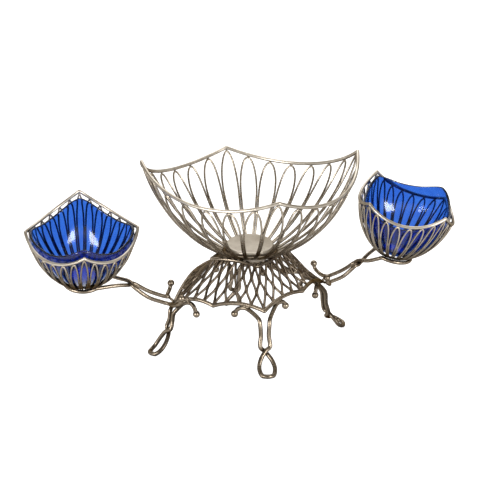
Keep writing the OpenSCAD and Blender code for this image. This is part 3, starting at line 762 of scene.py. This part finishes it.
@dataclass(frozen=True)
class Leg:
    """One leg: a wire from ball to ball, crossed above a teardrop foot.

    The shank's bends each give shares of its widening, of its bow and of the way up from the knuckle.
    The foot's bends give shares of its half width, of its length and of the lift over the crossing.
    """

    stand: Stand
    corner: Corner
    branches: Two = (36.0, 27.0)
    ball_drops: Two = (11.5, 16.5)
    hook: float = 3.5
    hook_share: float = 0.3
    rest: float = 9.0
    part: float = 16.0
    part_drop: float = 0.3
    shank_bow: float = 3.5
    shank_wide: float = 2.2
    shank_bends: tuple[Three, ...] = ((1.0, 0.0, 0.79), (0.3, 1.0, 0.6), (0.0, 1.3, 0.3))
    half: float = 4.2
    knuckle_half: float = 5.2
    knuckle_height: float = 27.5
    knuckle_share: float = 0.8
    cross_out: float = 9.0
    cross_height: float = 23.0
    foot_half: float = 8.2
    foot_length: float = 21.5
    foot_flat: float = 0.5
    foot_fall: float = 2.0
    foot_roll: float = 0.0
    foot_bends: tuple[Three, ...] = ((0, 0, 1), (0.7, 0.24, 0.6), (1, 0.54, 0), (0.74, 0.86, 0))
    steps: int = 10
    drop: Two = (4.5, 1.5)
    drop_places: Two = (11.0, 15.0)

    def branch(self) -> float:
        """Length of rim that the wires follow on their way to a ball."""
        return self.branches[self.corner % 2]

    def cross_reach(self) -> float:
        """Reach of the crossing from the axis."""
        return self.stand.lower_reach + self.cross_out

    def out(self) -> Vec:
        """The level direction that the leg faces."""
        return polar(1, self.stand.corner_angle(self.corner), 0)

    def beside(self, way: int, along: float) -> Vec:
        """A point of the lower rim, this far from the leg's corner."""
        if way > 0:
            arch = self.stand.first_arch(self.corner)
            return arch.point(along / arch.length())
        arch = self.stand.second_arch(self.corner + 3)
        return arch.point(1 - along / arch.length())

    def below(self, way: int, along: float, gap: float) -> Vec:
        """A point at a distance below the rim, measured square to it."""
        run = self.beside(way, along + 1) - self.beside(way, along - 1)
        return self.beside(way, along) - UP * (gap * np.linalg.norm(run) / np.linalg.norm(flat(run)))

    def point(self, aside: float, reach: float, height: float) -> Vec:
        """A point from its place beside, out from and above the axis."""
        return placed(np.zeros(3), self.out(), (aside, reach, height))

    def branch_points(self, way: int) -> list[Vec]:
        """The bends from the ball along the underside of the rim."""
        touch = self.stand.gauge.heavy + 2 * self.stand.gauge.room
        branch, drop = self.branch(), self.ball_drops[self.corner % 2]
        return [
            self.below(way, branch, drop),
            self.below(way, branch - self.hook, mix(touch, drop, self.hook_share)),
            self.below(way, branch - self.rest, touch),
            self.below(way, branch - self.part, touch + self.part_drop),
        ]

    def shank_points(self, way: int) -> list[Vec]:
        """The bends down the shank to the knuckle."""
        low, reach = self.knuckle_height, self.stand.lower_reach
        drop = self.stand.lower_heights[self.corner % 2] - low
        knuckle = mix(reach, self.cross_reach(), self.knuckle_share)
        return [
            *[self.point(way * (self.half + wide * self.shank_wide), reach + bowed * self.shank_bow,
                         low + high * drop) for wide, bowed, high in self.shank_bends],
            self.point(way * self.knuckle_half, knuckle, low),
        ]

    def foot_point(self, aside: float, share: float, lift: float) -> Vec:
        """A bend of the foot, from its share of the way from the crossing to the tip."""
        wire = self.stand.gauge.heavy
        low, long = wire / 2 - self.foot_flat, self.foot_length - wire / 2
        fall, power = self.cross_height - low, self.foot_fall
        off = unit(self.out() * (power * fall * (1 - share) ** (power - 1)) + UP * long)
        reach = self.cross_reach() + long * share
        rolled = (aside + self.foot_half) * math.tan(math.radians(self.foot_roll))
        height = low + fall * (1 - share) ** power + rolled * min(2 * share, 1.0)
        return self.point(aside, reach, height) + off * lift

    def path(self) -> list[Vec]:
        """The line of the whole wire."""
        over = (self.stand.gauge.heavy + self.stand.gauge.room) / 2
        there = [(-a, q, lift) for a, q, lift in self.foot_bends]
        back = [(a, q, -lift) for a, q, lift in reversed(self.foot_bends)]
        home = [*self.branch_points(-1), *self.shank_points(-1)]
        bends = [
            *self.branch_points(1), *self.shank_points(1),
            *[self.foot_point(a * self.foot_half, q, lift * over)
              for a, q, lift in [*there, (0, 1, 0), *back]],
            *reversed(home),
        ]
        return bent(bends, self.steps)

    def rested(self, line: list[Vec]) -> list[Vec]:
        """Lifts what would sink below the table, where the real foot is worn flat."""
        low = self.stand.gauge.leg_shown / 2
        return [p if p[2] >= low else np.array([p[0], p[1], low]) for p in line]

    def build(self, finishes: Finishes) -> None:
        """Builds the leg with the solder that holds it to the rim."""
        name, gauge = self.corner.name.lower(), self.stand.gauge
        mesh = WireMesh()
        line = self.rested(self.path())
        mesh.wire(line, gauge.leg_shown, gauge.heavy_sides, [np.cross(UP, self.out())] * len(line))
        for way in (1, -1):
            for along in (self.branch() - place for place in self.drop_places):
                run = self.beside(way, along + 1) - self.beside(way, along)
                mesh.solder(self.below(way, along, gauge.heavy / 2 + gauge.room), run, self.drop)
        mesh.piece(f"leg_wire_{name}", "stand", Slot.STAND, finishes.stand, f"leg_{name}")


@dataclass(frozen=True)
class Basket:
    """The wall of a wire basket: a cornered rim, inverted loops and a base ring."""

    gauge: Gauge
    ring_radius: float
    ring_wire: float
    rim_wire: float
    loop_wire: float
    corner_reach: float
    corner_rises: Two
    side_reach: float
    side_rise: float
    fullness: float
    low_rise: float
    spring: float
    arch_steps: int
    loops: int = 7
    leg_steps: int = 14
    rim_drop: Two = (1.6, 0.6)
    rim_drop_run: float = 0.1
    leg_drop: Two = (2.4, 0.45)
    leg_drop_run: float = 0.03
    probe: float = 0.01

    def foot(self) -> float:
        """The reach at which the loops stand beside the base ring."""
        return self.ring_radius + self.ring_wire / 2 + self.loop_wire / 2 + self.gauge.room

    def corner(self, i: int) -> Vec:
        """A corner of the rim."""
        return polar(self.corner_reach, 90 * (i - 1), self.corner_rises[i % 2])

    def rim_arc(self, i: int) -> Arc:
        """The side of the rim after a corner."""
        middle = polar(self.side_reach, 90 * i - 45, self.side_rise)
        return Arc.through(self.corner(i), middle, self.corner(i + 1))

    def rim_at(self, u: float) -> Vec:
        """A point of the rim, counted in loops from the front corner."""
        i = math.floor(u / self.loops)
        return self.rim_arc(i + 4).point(u / self.loops - i)

    def wall(self, u: float, share: float) -> Vec:
        """A point of the bowl.

        Args:
            u: Its place round the rim, counted in loops.
            share: Its share of the way up from the base ring.

        Returns:
            The point, in the basket's own frame.
        """
        p = self.rim_at(u)
        reach, foot = np.linalg.norm(flat(p)), self.foot()
        even = 90 * (u / self.loops - 1)
        angle = math.degrees(math.atan2(p[1], p[0]))
        angle += 360 * round((even - angle) / 360)
        return polar(
            bow(foot, mix(foot, reach, self.fullness), reach, share),
            mix(even, angle, share),
            bow(0, p[2] * self.low_rise, p[2], share),
        )

    def loop_top(self, k: int) -> float:
        """The share of the wall where a loop's arch meets the underside of the rim."""
        bead = self.gauge.bead if k % self.loops == 0 else 0
        clear = self.rim_wire / 2 + bead + self.loop_wire / 2 + 2 * self.gauge.room
        last = np.linalg.norm(self.wall(k, 1) - self.wall(k, 1 - self.probe))
        return 1 - clear / (last / self.probe)

    def loop_point(self, k: int, aside: float, share: float) -> Vec:
        """A point of a loop, which keeps its wire's width from the loop beside it."""
        p = self.wall(k + aside, share)
        off = unit(np.cross(UP, flat(p)))
        return p - off * (aside * (self.loop_wire + self.gauge.room))

    def loop_path(self, k: int) -> list[Vec]:
        """The line of one loop: up one leg, over its arch and down the other."""
        top = self.loop_top(k)
        rises = [self.spring * s / self.leg_steps for s in range(self.leg_steps)]
        turns = [math.pi * s / self.arch_steps for s in range(self.arch_steps + 1)]
        return [
            *[self.loop_point(k, 0.5, share) for share in rises],
            *[self.loop_point(k, 0.5 * math.cos(a), mix(self.spring, top, math.sin(a)))
              for a in turns],
            *[self.loop_point(k, -0.5, share) for share in reversed(rises)],
        ]

    def rim(self, place: Place) -> WireMesh:
        """The rim, whose four sides are soldered end to end."""
        mesh = WireMesh()
        for i in range(4):
            line = [place.at(p) for p in self.rim_arc(i).line(self.gauge.rim_steps)]
            mesh.wire(line, self.rim_wire, self.gauge.heavy_sides)
        return mesh

    def filled(self, place: Place, loops: range) -> WireMesh:
        """Makes loops, soldered to each other and to the rim.

        Args:
            place: Where the basket stands.
            loops: The numbers of the loops.

        Returns:
            Their mesh.
        """
        mesh = WireMesh()
        reach, girth = self.leg_drop
        ends = self.spring - self.leg_drop_run, self.spring + self.leg_drop_run
        for k in loops:
            line = [place.at(p) for p in self.loop_path(k)]
            mesh.wire(line, self.loop_wire, self.gauge.fine_sides, across(line, place.origin))
            arch, rim = line[len(line) // 2], place.at(self.wall(k, 1))
            under = arch + unit(rim - arch) * (self.loop_wire / 2)
            mesh.solder(under, place.at(self.wall(k + self.rim_drop_run, 1)) - rim, self.rim_drop)
            low, high = (place.at(self.wall(k + 0.5, share)) for share in ends)
            mesh.solder((low + high) / 2, high - low, (reach, girth * self.loop_wire))
        return mesh


@dataclass(frozen=True)
class MainBasket:
    """The large basket, which stands on the middles of the top rim's sides."""

    stand: Stand
    basket: Basket
    turn: float = -1.0

    def place(self) -> Place:
        """Where the base ring lies on the top rim."""
        gauge = self.stand.gauge
        touch = (gauge.heavy + self.basket.ring_wire) / 2
        aside = min(abs(self.stand.top_side_reach - self.basket.ring_radius), touch)
        rise = math.sqrt((touch + gauge.room) ** 2 - aside**2)
        return Place(UP * (self.stand.top_height + rise), turn=self.turn)

    def build(self, finishes: Finishes) -> None:
        """Builds the rim, and the loops as one piece for each side."""
        place, loops = self.place(), self.basket.loops
        self.basket.rim(place).piece(
            "main_rim_wire", "stand", Slot.BRIGHT, finishes.bright, "main_rim")
        for i, side in enumerate(SIDES):
            self.basket.filled(place, range(loops * i, loops * (i + 1))).piece(
                f"main_petals_{side}", "stand", Slot.FINE, finishes.fine, f"main_loops_{side}")


@dataclass(frozen=True)
class SideBasket:
    """A small basket in the holder ring of an arm."""

    basket: Basket
    corner: Corner
    holder: Vec
    lean: float
    lean_to: float
    turn: float
    seat_share: float = 0.03
    room: float = 0.3

    def seat(self) -> Two:
        """Radius and level of the holder ring that bears the basket's wall."""
        middle, probe = self.basket.loops / 2, self.basket.probe
        low, high = (self.basket.wall(middle, self.seat_share + d) for d in (-probe, probe))
        slope, spot = unit(high - low), self.basket.wall(middle, self.seat_share)
        off = self.basket.loop_wire / 2 + self.basket.gauge.heavy / 2 + self.room
        radius = np.linalg.norm(flat(spot)) + off * slope[2]
        return float(radius), float(spot[2] - off * np.linalg.norm(flat(slope)))

    def place(self) -> Place:
        """Where the basket leans in its ring."""
        return Place(self.holder, self.lean, self.lean_to, self.seat()[1], self.turn)

    def name(self) -> str:
        """The side that it stands on, left or right."""
        return self.corner.name.lower()

    def build(self, finishes: Finishes) -> None:
        """Builds the basket's rim and loops."""
        name, place, body = self.name(), self.place(), f"{self.name()}_basket"
        self.basket.rim(place).piece(
            f"{name}_rim_wire", body, Slot.BRIGHT, finishes.bright, f"{name}_rim")
        self.basket.filled(place, range(4 * self.basket.loops)).piece(
            f"{name}_petals", body, Slot.FINE, finishes.fine, f"{name}_loops")


@dataclass(frozen=True)
class Liner:
    """A glass liner: a bowl of four soft lobes with a scalloped, fire-polished edge."""

    side: SideBasket
    tip: float
    tip_to: float
    lift: float
    corner_rises: Four
    side_rises: Four
    flares: Four = (4.0, 4.0, 4.0, 4.0)
    edge_soft: float = 5.0
    corner_soft: float = 25.0
    corner_share: float = 0.74
    flare_narrow: float = 1.5
    belly: float = 3.0
    wall: float = 2.6
    room: float = 4.2
    seat_room: float = 0.3
    foot_radius: float = 12.0
    dip: float = 7.0
    lobe_start: float = 21.0
    settle: float = 0.1
    around: int = 128
    up: int = 22
    crowd: float = 1.6
    lip_steps: int = 8
    fit_steps: int = 6
    under_shares: Three = (0.3, 0.6, 0.85)
    floor_shares: Two = (0.92, 0.6)

    def foot(self) -> float:
        """Height of the underside above the base ring."""
        return self.side.basket.ring_wire / 2 + self.seat_room

    def reach(self) -> float:
        """Reach of the edge at the middle of a side."""
        return self.side.basket.side_reach - self.side.basket.loop_wire / 2 - self.room

    def edge(self) -> float:
        """Height of the edge at the middle of a side."""
        return self.side.basket.side_rise - self.dip

    def lobe(self) -> Three:
        """Radius of a lobe's sphere, and the reach and height of its middle."""
        out, rise = self.reach() - self.foot_radius, self.edge() - self.foot()
        start = math.radians(self.lobe_start)
        radius = math.hypot(out, rise) / 2 / math.sin(math.atan2(rise, out) - start)
        middle = self.foot_radius - radius * math.sin(start)
        return radius, middle, self.foot() + radius * math.cos(start)

    def off_side(self, angle: float, soft: float) -> float:
        """Radians past the middle of the nearest side, with the corners rounded off."""
        off = (angle + 45) % 90 - 45
        return math.copysign(math.radians(45 - math.hypot(45 - abs(off), soft)), off)

    def underside(self, off: float, reach: float) -> float:
        """Height of the round bottom at a reach."""
        radius, middle, level = self.lobe()
        level_out = (reach * math.cos(off) - middle) ** 2 + (reach * math.sin(off)) ** 2
        return level - math.sqrt(radius**2 - level_out)

    def flared(self, angle: float, height: float) -> float:
        """How much further out the wall stands at the corners of the edge and round the foot."""
        corner = (1 - math.cos(4 * math.radians(angle))) / 2
        up = min(height / self.edge(), 1.0)
        flare = self.flares[math.floor(angle / 90 + 1) % 4]
        return flare * corner**self.flare_narrow * up**2 + self.belly * max(1 - 2 * up, 0.0) ** 2

    def span(self, off: float, height: float, inset: float) -> float:
        """Reach of the outer or inner skin at a height.

        Args:
            off: Radians from the middle of the side.
            height: Height above the base ring.
            inset: Depth of the skin below the outside.

        Returns:
            The reach from the liner's axis.
        """
        radius, middle, level = self.lobe()
        square = (radius - inset) ** 2 - (height - level) ** 2 - (middle * math.sin(off)) ** 2
        return middle * math.cos(off) + math.sqrt(max(square, 0.0))

    def scallop(self, side: int) -> Arc:
        """The dip of the edge between two corners of unlike height."""
        half, edge = self.reach() * self.corner_share, self.edge()
        first, last = self.corner_rises[side % 4], self.corner_rises[(side + 1) % 4]
        middle = edge + self.side_rises[side % 4]
        return Arc.through(
            np.array([0, -half, edge + first]), UP * middle, np.array([0, half, edge + last]))

    def edge_height(self, side: int, off: float) -> float:
        """Height of the scalloped edge.

        Args:
            side: The number of the side, counted from the front right.
            off: Radians past its middle.

        Returns:
            The height above the base ring.
        """
        dip, height = self.scallop(side), self.edge()
        for _ in range(self.fit_steps):
            aside = self.span(off, height, self.wall / 2) * math.sin(off) - dip.centre[1]
            height = dip.centre[2] - math.sqrt(dip.radius**2 - aside**2)
        return height

    def profile(self, angle: float) -> list[Two]:
        """The cut through the wall at one angle.

        Args:
            angle: Compass angle in the liner's own frame, 0 at the middle of a side.

        Returns:
            Reach and height from under the foot, round the lip, to the floor inside.
        """
        off, half = self.off_side(angle, self.corner_soft), self.wall / 2
        side = math.floor((angle + 45) / 90)
        top = self.edge_height(side, self.off_side(angle, self.edge_soft)) - half
        foot, floor = self.foot(), self.foot() + self.wall
        shares = [(s / self.up) ** self.crowd for s in range(self.up + 1)]
        outer = [(self.span(off, h, 0) + self.flared(angle, h), h)
                 for h in (mix(foot, top, q) for q in shares)]
        inner = [(self.span(off, h, self.wall) + self.flared(angle, h), h)
                 for h in (mix(floor, top, q) for q in reversed(shares))]
        middle, spread = (outer[-1][0] + inner[0][0]) / 2, (outer[-1][0] - inner[0][0]) / 2
        turns = [math.pi * s / self.lip_steps for s in range(1, self.lip_steps)]
        lip = [(middle + spread * math.cos(a), top + half * math.sin(a)) for a in turns]
        bottom = self.span(off, foot, 0)
        under = [(outer[0][0] * q, self.underside(off, bottom * q)) for q in self.under_shares]
        floor_run = [(inner[-1][0] * q, floor) for q in self.floor_shares]
        return [*under, *outer, *lip, *inner, *floor_run]

    def at(self, place: Place, p: Vec) -> Vec:
        """Carries a point of the liner to its basket, where the bowl tips and its foot settles."""
        level = UP * self.lobe()[2]
        share = mix(self.settle, 1.0, min(max(p[2] / self.edge(), 0.0), 1.0))
        swung = turned(p - level, polar(1, self.tip_to + 90, 0), self.tip * share)
        return place.at(swung + level + UP * (self.lift * share))

    def build(self, finishes: Finishes) -> None:
        """Builds the liner in its basket."""
        place, name = self.side.place(), self.side.name()
        angles = [360 * s / self.around for s in range(self.around)]
        cuts = [self.profile(a) for a in angles]
        rings = [
            np.array([self.at(place, polar(cut[j][0], a - 45, cut[j][1]))
                      for a, cut in zip(angles, cuts)])
            for j in range(len(cuts[0]))
        ]
        mesh = WireMesh()
        under, floor = UP * self.underside(0, 0), UP * (self.foot() + self.wall)
        mesh.rings(rings, self.at(place, under), self.at(place, floor))
        mesh.piece(f"{name}_liner_bowl", f"{name}_liner", Slot.GLASS, finishes.glass,
                   f"{name}_glass")


@dataclass(frozen=True)
class Arm:
    """One arm: a wire from ball to ball, crossed before it rings a small basket.

    The hook and the curl are steps from the ball, inward, outward and down. The bends on the way to
    the knuckle each give a place aside, then shares of the way out and up.
    """

    stand: Stand
    side: SideBasket
    knuckle_out: float
    ball: Three = (26.0, -1.5, 13.0)
    hook: Three = (1.0, 1.5, 6.0)
    curl: Three = (8.5, 6.0, 10.5)
    lay: Three = (7.0, 6.5, 2.4)
    bends: tuple[Three, ...] = ((6.0, 0.3, 0.2), (5.8, 0.66, 0.5))
    stack: float = 1.6
    cross_out: float = 5.0
    cross_rise: float = 2.5
    spread: float = 1.2
    open_share: float = 0.42
    knuckle_rise: float = 20.0
    knuckle_half: float = 5.8
    ring_mouth: float = 50.0
    ring_step: float = 5.0
    steps: int = 10
    drop: Two = (4.5, 1.6)

    def root(self) -> Vec:
        """The corner of the lower rim that the arm springs from."""
        return self.stand.corner(self.side.corner)

    def out(self) -> Vec:
        """The level direction from that corner to the holder ring."""
        return unit(flat(self.side.holder - self.root()))

    def point(self, aside: float, along: float, rise: float) -> Vec:
        """A point from its place beside, along and above the arm's root."""
        return placed(self.root(), self.out(), (aside, along, rise))

    def curl_point(self, way: int, step: Three) -> Vec:
        """A point of the curled root, which is square to halfway between arm and leg."""
        out = unit(self.out() + polar(1, self.stand.corner_angle(self.side.corner), 0))
        aside, along, rise = self.ball
        return placed(self.root(), out, (way * (aside - step[0]), along + step[1], rise - step[2]))

    def laid(self, way: int) -> Vec:
        """The bend where a wire lies on the rim's corner, one wire above the other."""
        aside, along, rise = self.lay
        return self.point(way * aside, along, rise + self.stacked(way))

    def stacked(self, way: int) -> float:
        """How far a wire lies above or below the middle of the pair."""
        return math.copysign(self.stack, way * np.cross(UP, self.out())[1])

    def start_points(self, way: int) -> list[Vec]:
        """The bends from a ball round the rim's corner and out to the knuckle."""
        out, rise = self.knuckle_out, self.knuckle_rise
        return [
            *[self.curl_point(way, step) for step in ((0, 0, 0), self.hook, self.curl)],
            self.laid(way),
            *[self.point(way * aside, along * out, high * rise + self.stacked(way))
              for aside, along, high in self.bends],
            self.point(way * self.knuckle_half, out, rise),
        ]

    def crossing(self, lift: float) -> Vec:
        """The point where one wire of the arm passes over or under the other."""
        along = self.knuckle_out + self.cross_out
        return self.point(0, along, self.knuckle_rise + self.cross_rise + lift)

    def ring_point(self, angle: float) -> Vec:
        """A point of the holder ring, at an angle from the arm's own direction."""
        spoke = turned(self.out(), UP, angle) * self.side.seat()[0]
        axis = polar(1, self.side.lean_to + 90, 0)
        return self.side.holder + turned(spoke, axis, self.side.lean)

    def opening(self, way: int) -> Vec:
        """The bend where the wires open out into the ring."""
        end = self.ring_point(way * (180 - self.ring_mouth))
        aside = np.cross(UP, self.out()) * (way * self.spread)
        return mix(self.crossing(0), end, self.open_share) + aside

    def path(self) -> list[Vec]:
        """The line of the whole wire."""
        over = (self.stand.gauge.heavy + self.stand.gauge.room) / 2
        last = 180 - self.ring_mouth
        out = [*self.start_points(1), self.crossing(over), self.opening(-1), self.ring_point(-last)]
        home = [self.ring_point(last), self.opening(1), self.crossing(-over),
                *reversed(self.start_points(-1))]
        turns = np.arange(-last + self.ring_step, last - self.ring_step / 2, self.ring_step)
        return [*bent(out, self.steps), *[self.ring_point(a) for a in turns],
                *bent(home, self.steps)]

    def build(self, finishes: Finishes) -> None:
        """Builds the arm with the solder at the rim's corner."""
        name, gauge, root = self.side.name(), self.stand.gauge, self.root()
        mesh = WireMesh()
        mesh.wire(self.path(), gauge.arm_shown, gauge.heavy_sides)
        for way in (1, -1):
            laid = self.laid(way)
            mesh.solder((laid + root) / 2, laid - root, self.drop)
        mesh.piece(f"arm_wire_{name}", "stand", Slot.STAND, finishes.stand, f"arm_{name}")


class Fittings:
    """The base rings, balls and floor plate that keep their shape from the model."""

    STAND_NODES = (
        "main_base_ring", "left_base_ring", "right_base_ring", "leg_balls_front", "leg_balls_right",
        "leg_balls_back", "leg_balls_left", "arm_balls_left", "arm_balls_right",
    )
    BRIGHT_NODES = ("main_floor",)

    def dress(self, finishes: Finishes) -> None:
        """Gives each of them its finish."""
        dressed = (self.STAND_NODES, finishes.stand), (self.BRIGHT_NODES, finishes.bright)
        for names, finish in dressed:
            for name in names:
                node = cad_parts[name]
                node.data.materials.clear()
                node.data.materials.append(finish)
                LOG.info("%s: dressed in %s", name, finish.name)


def stood(made: bpy.types.Object, right: Vec, above: Vec, back: Vec, at: Vec) -> None:
    """Stands a lamp or camera up by its three directions, at a point in metres."""
    rows = [(right[i], above[i], back[i], at[i]) for i in range(3)]
    made.matrix_world = Matrix([*rows, (0, 0, 0, 1)])


@dataclass(frozen=True)
class Lamp:
    """A soft box that faces the epergne.

    Its angles are degrees round from the camera and up from the table, and its distance, width and
    height are metres.
    """

    name: str
    aside: float
    rise: float
    away: float
    size: Two
    watts: float

    def build(self, front: float, target: Vec) -> None:
        """Sets the lamp up, given the camera's compass angle and the point to light."""
        light = bpy.data.lights.new(self.name, "AREA")
        light.shape = "RECTANGLE"
        light.size, light.size_y = self.size
        light.energy = self.watts
        at = toward(front + self.aside, self.rise) * self.away
        back = unit(at - target)
        side = unit(np.cross(UP, back))
        stood(linked(self.name, light), side, np.cross(back, side), back, at)


@dataclass(frozen=True)
class Studio:
    """The pale floor, soft lamps and camera."""

    azimuth: float = -104.8
    elevation: float = 17.9
    distance: float = 1800.0
    target: float = 90.0
    pitch: float = 0.4
    roll: float = 0.7
    focal_pixels: float = 1662.0
    image_pixels: float = 500.0
    sensor: float = 36.0
    white: str = "#ffffff"
    room: str = "#958f85"
    horizon: Two = (0.15, 0.3)
    backdrop_rise: float = 30.0
    backdrop_edges: Two = (0.6, 0.85)
    paper: str = "#d8d8d8"
    floor_radius: float = 9.0
    floor_sides: int = 96
    floor_drop: float = 0.0002
    floor_glow: float = 0.85
    floor_gloss: float = 0.4

    def camera(self) -> None:
        """Sets the camera at the photograph's viewing angle."""
        out = toward(self.azimuth, self.elevation)
        eye = UP * self.target + out * self.distance
        look = -out
        right = unit(np.cross(look, UP))
        look = turned(look, right, self.pitch)
        right = turned(right, look, -self.roll)
        lens = bpy.data.cameras.new("camera")
        lens.sensor_width = self.sensor
        lens.lens = self.focal_pixels / self.image_pixels * self.sensor
        made = linked("camera", lens)
        stood(made, right, np.cross(right, look), -look, eye * MM)
        bpy.context.scene.camera = made

    def lamps(self) -> None:
        """Two low windows in front, one to each side, and a broad soft box overhead."""
        for lamp in (
            Lamp("key", aside=-39, rise=14, away=1.9, size=(0.8, 0.5), watts=20),
            Lamp("fill", aside=39, rise=14, away=1.9, size=(0.8, 0.5), watts=20),
            Lamp("overhead", aside=180, rise=72, away=1.7, size=(1.3, 1.3), watts=9),
        ):
            lamp.build(self.azimuth, UP * self.target * MM)

    def world(self) -> None:
        """A dim room with a pale horizon and a white backdrop, the same for every ray."""
        world = bpy.data.worlds.new("studio")
        bpy.context.scene.world = world
        tree = fresh_tree(world)
        way = add_node(tree, "ShaderNodeTexCoord").outputs["Generated"]
        up = add_node(tree, "ShaderNodeSeparateXYZ", None, {0: way})
        ramp = add_node(tree, "ShaderNodeValToRGB", None, {0: up.outputs["Z"]})
        colours = self.white, self.room
        for step, position, colour in zip(ramp.color_ramp.elements, self.horizon, colours):
            step.position, step.color = position, linear(colour)
        middle = toward(self.azimuth + 180, self.backdrop_rise)
        behind = add_node(
            tree, "ShaderNodeVectorMath", {"operation": "DOT_PRODUCT", 1: tuple(middle)}, {0: way})
        backdrop = remap(tree, behind.outputs["Value"], self.backdrop_edges, kind="SMOOTHSTEP")
        shown = blend(tree, backdrop, {7: linear(self.white)}, {6: ramp.outputs[0]})
        sky = add_node(tree, "ShaderNodeBackground", None, {"Color": shown})
        add_node(tree, "ShaderNodeOutputWorld", None, {"Surface": sky.outputs[0]})

    def floor(self) -> None:
        """A pale paper floor that shows as white where it is lit and keeps the shadow."""
        mesh = bpy.data.meshes.new("floor")
        count = self.floor_sides
        rim = [polar(self.floor_radius, 360 * s / count, -self.floor_drop) for s in range(count)]
        mesh.from_pydata([tuple(p) for p in rim], [], [tuple(range(count))])
        made = linked("floor", mesh)
        material = bpy.data.materials.new("pale_paper")
        tree = fresh_tree(material)
        rays = add_node(tree, "ShaderNodeLightPath").outputs
        seen = figure(tree, "MAXIMUM", rays["Is Camera Ray"], rays["Is Transmission Ray"])
        shown = add_node(
            tree, "ShaderNodeMath", {"operation": "MULTIPLY_ADD", 1: self.floor_gloss},
            {0: rays["Is Glossy Ray"], 2: seen})
        paper = add_node(tree, "ShaderNodeBsdfDiffuse", {"Color": linear(self.paper)})
        lift = add_node(tree, "ShaderNodeEmission", {"Strength": self.floor_glow})
        glow = add_node(tree, "ShaderNodeMixShader", None, {0: shown.outputs[0], 2: lift.outputs[0]})
        both = add_node(tree, "ShaderNodeAddShader", None, {0: paper.outputs[0], 1: glow.outputs[0]})
        add_node(tree, "ShaderNodeOutputMaterial", None, {"Surface": both.outputs[0]})
        mesh.materials.append(material)

    def build(self) -> None:
        """Sets up the whole studio."""
        bpy.context.scene.view_settings.view_transform = "Standard"
        self.camera()
        self.world()
        self.lamps()
        self.floor()


def main() -> None:
    """Sets up the studio, then builds the epergne piece by piece."""
    logging.basicConfig(level=logging.INFO, format="%(message)s")
    Studio().build()
    finishes, gauge = Finishes(), Gauge()
    stand = Stand(gauge)
    large = Basket(
        gauge, ring_radius=27.5, ring_wire=3.6, rim_wire=3.8, loop_wire=2.2, corner_reach=118.0,
        corner_rises=(86.0, 105.0), side_reach=106.0, side_rise=74.5, fullness=0.74, low_rise=0.28,
        spring=0.57, arch_steps=28,
    )
    small = Basket(
        gauge, ring_radius=15.0, ring_wire=2.6, rim_wire=3.3, loop_wire=1.9, corner_reach=58.0,
        corner_rises=(71.5, 64.0), side_reach=53.0, side_rise=54.5, fullness=0.8, low_rise=0.3,
        spring=0.55, arch_steps=24,
    )
    left = SideBasket(small, Corner.LEFT, holder=np.array([-182.0, 0, 83.0]), lean=20.5,
                      lean_to=-100.0, turn=-7.0)
    right = SideBasket(small, Corner.RIGHT, holder=np.array([163.0, 0, 87.5]), lean=15.0,
                       lean_to=-43.0, turn=23.0)
    stand.build(finishes)
    Fittings().dress(finishes)
    for part in (
        Skirt(stand),
        Leg(stand, Corner.FRONT, foot_fall=1.5),
        Leg(stand, Corner.RIGHT, knuckle_height=20.5, cross_height=16.0, foot_roll=15.0),
        Leg(stand, Corner.BACK),
        Leg(stand, Corner.LEFT, foot_fall=1.8),
        MainBasket(stand, large),
        left,
        right,
        Liner(left, tip=6.0, tip_to=90.0, lift=3.8, corner_rises=(25.0, 15.5, 28.5, 15.5),
              side_rises=(5.0, 6.5, 6.5, 5.0), flares=(4.2, 5.6, 3.5, 5.6)),
        Liner(right, tip=14.0, tip_to=180.0, lift=3.4, corner_rises=(21.0, 18.0, 25.0, 23.0),
              side_rises=(4.0, 6.0, 10.0, 5.0), edge_soft=6.0),
        Arm(stand, left, knuckle_out=43.5),
        Arm(stand, right, knuckle_out=36.5),
    ):
        part.build(finishes)


if __name__ == "__main__":
    main()
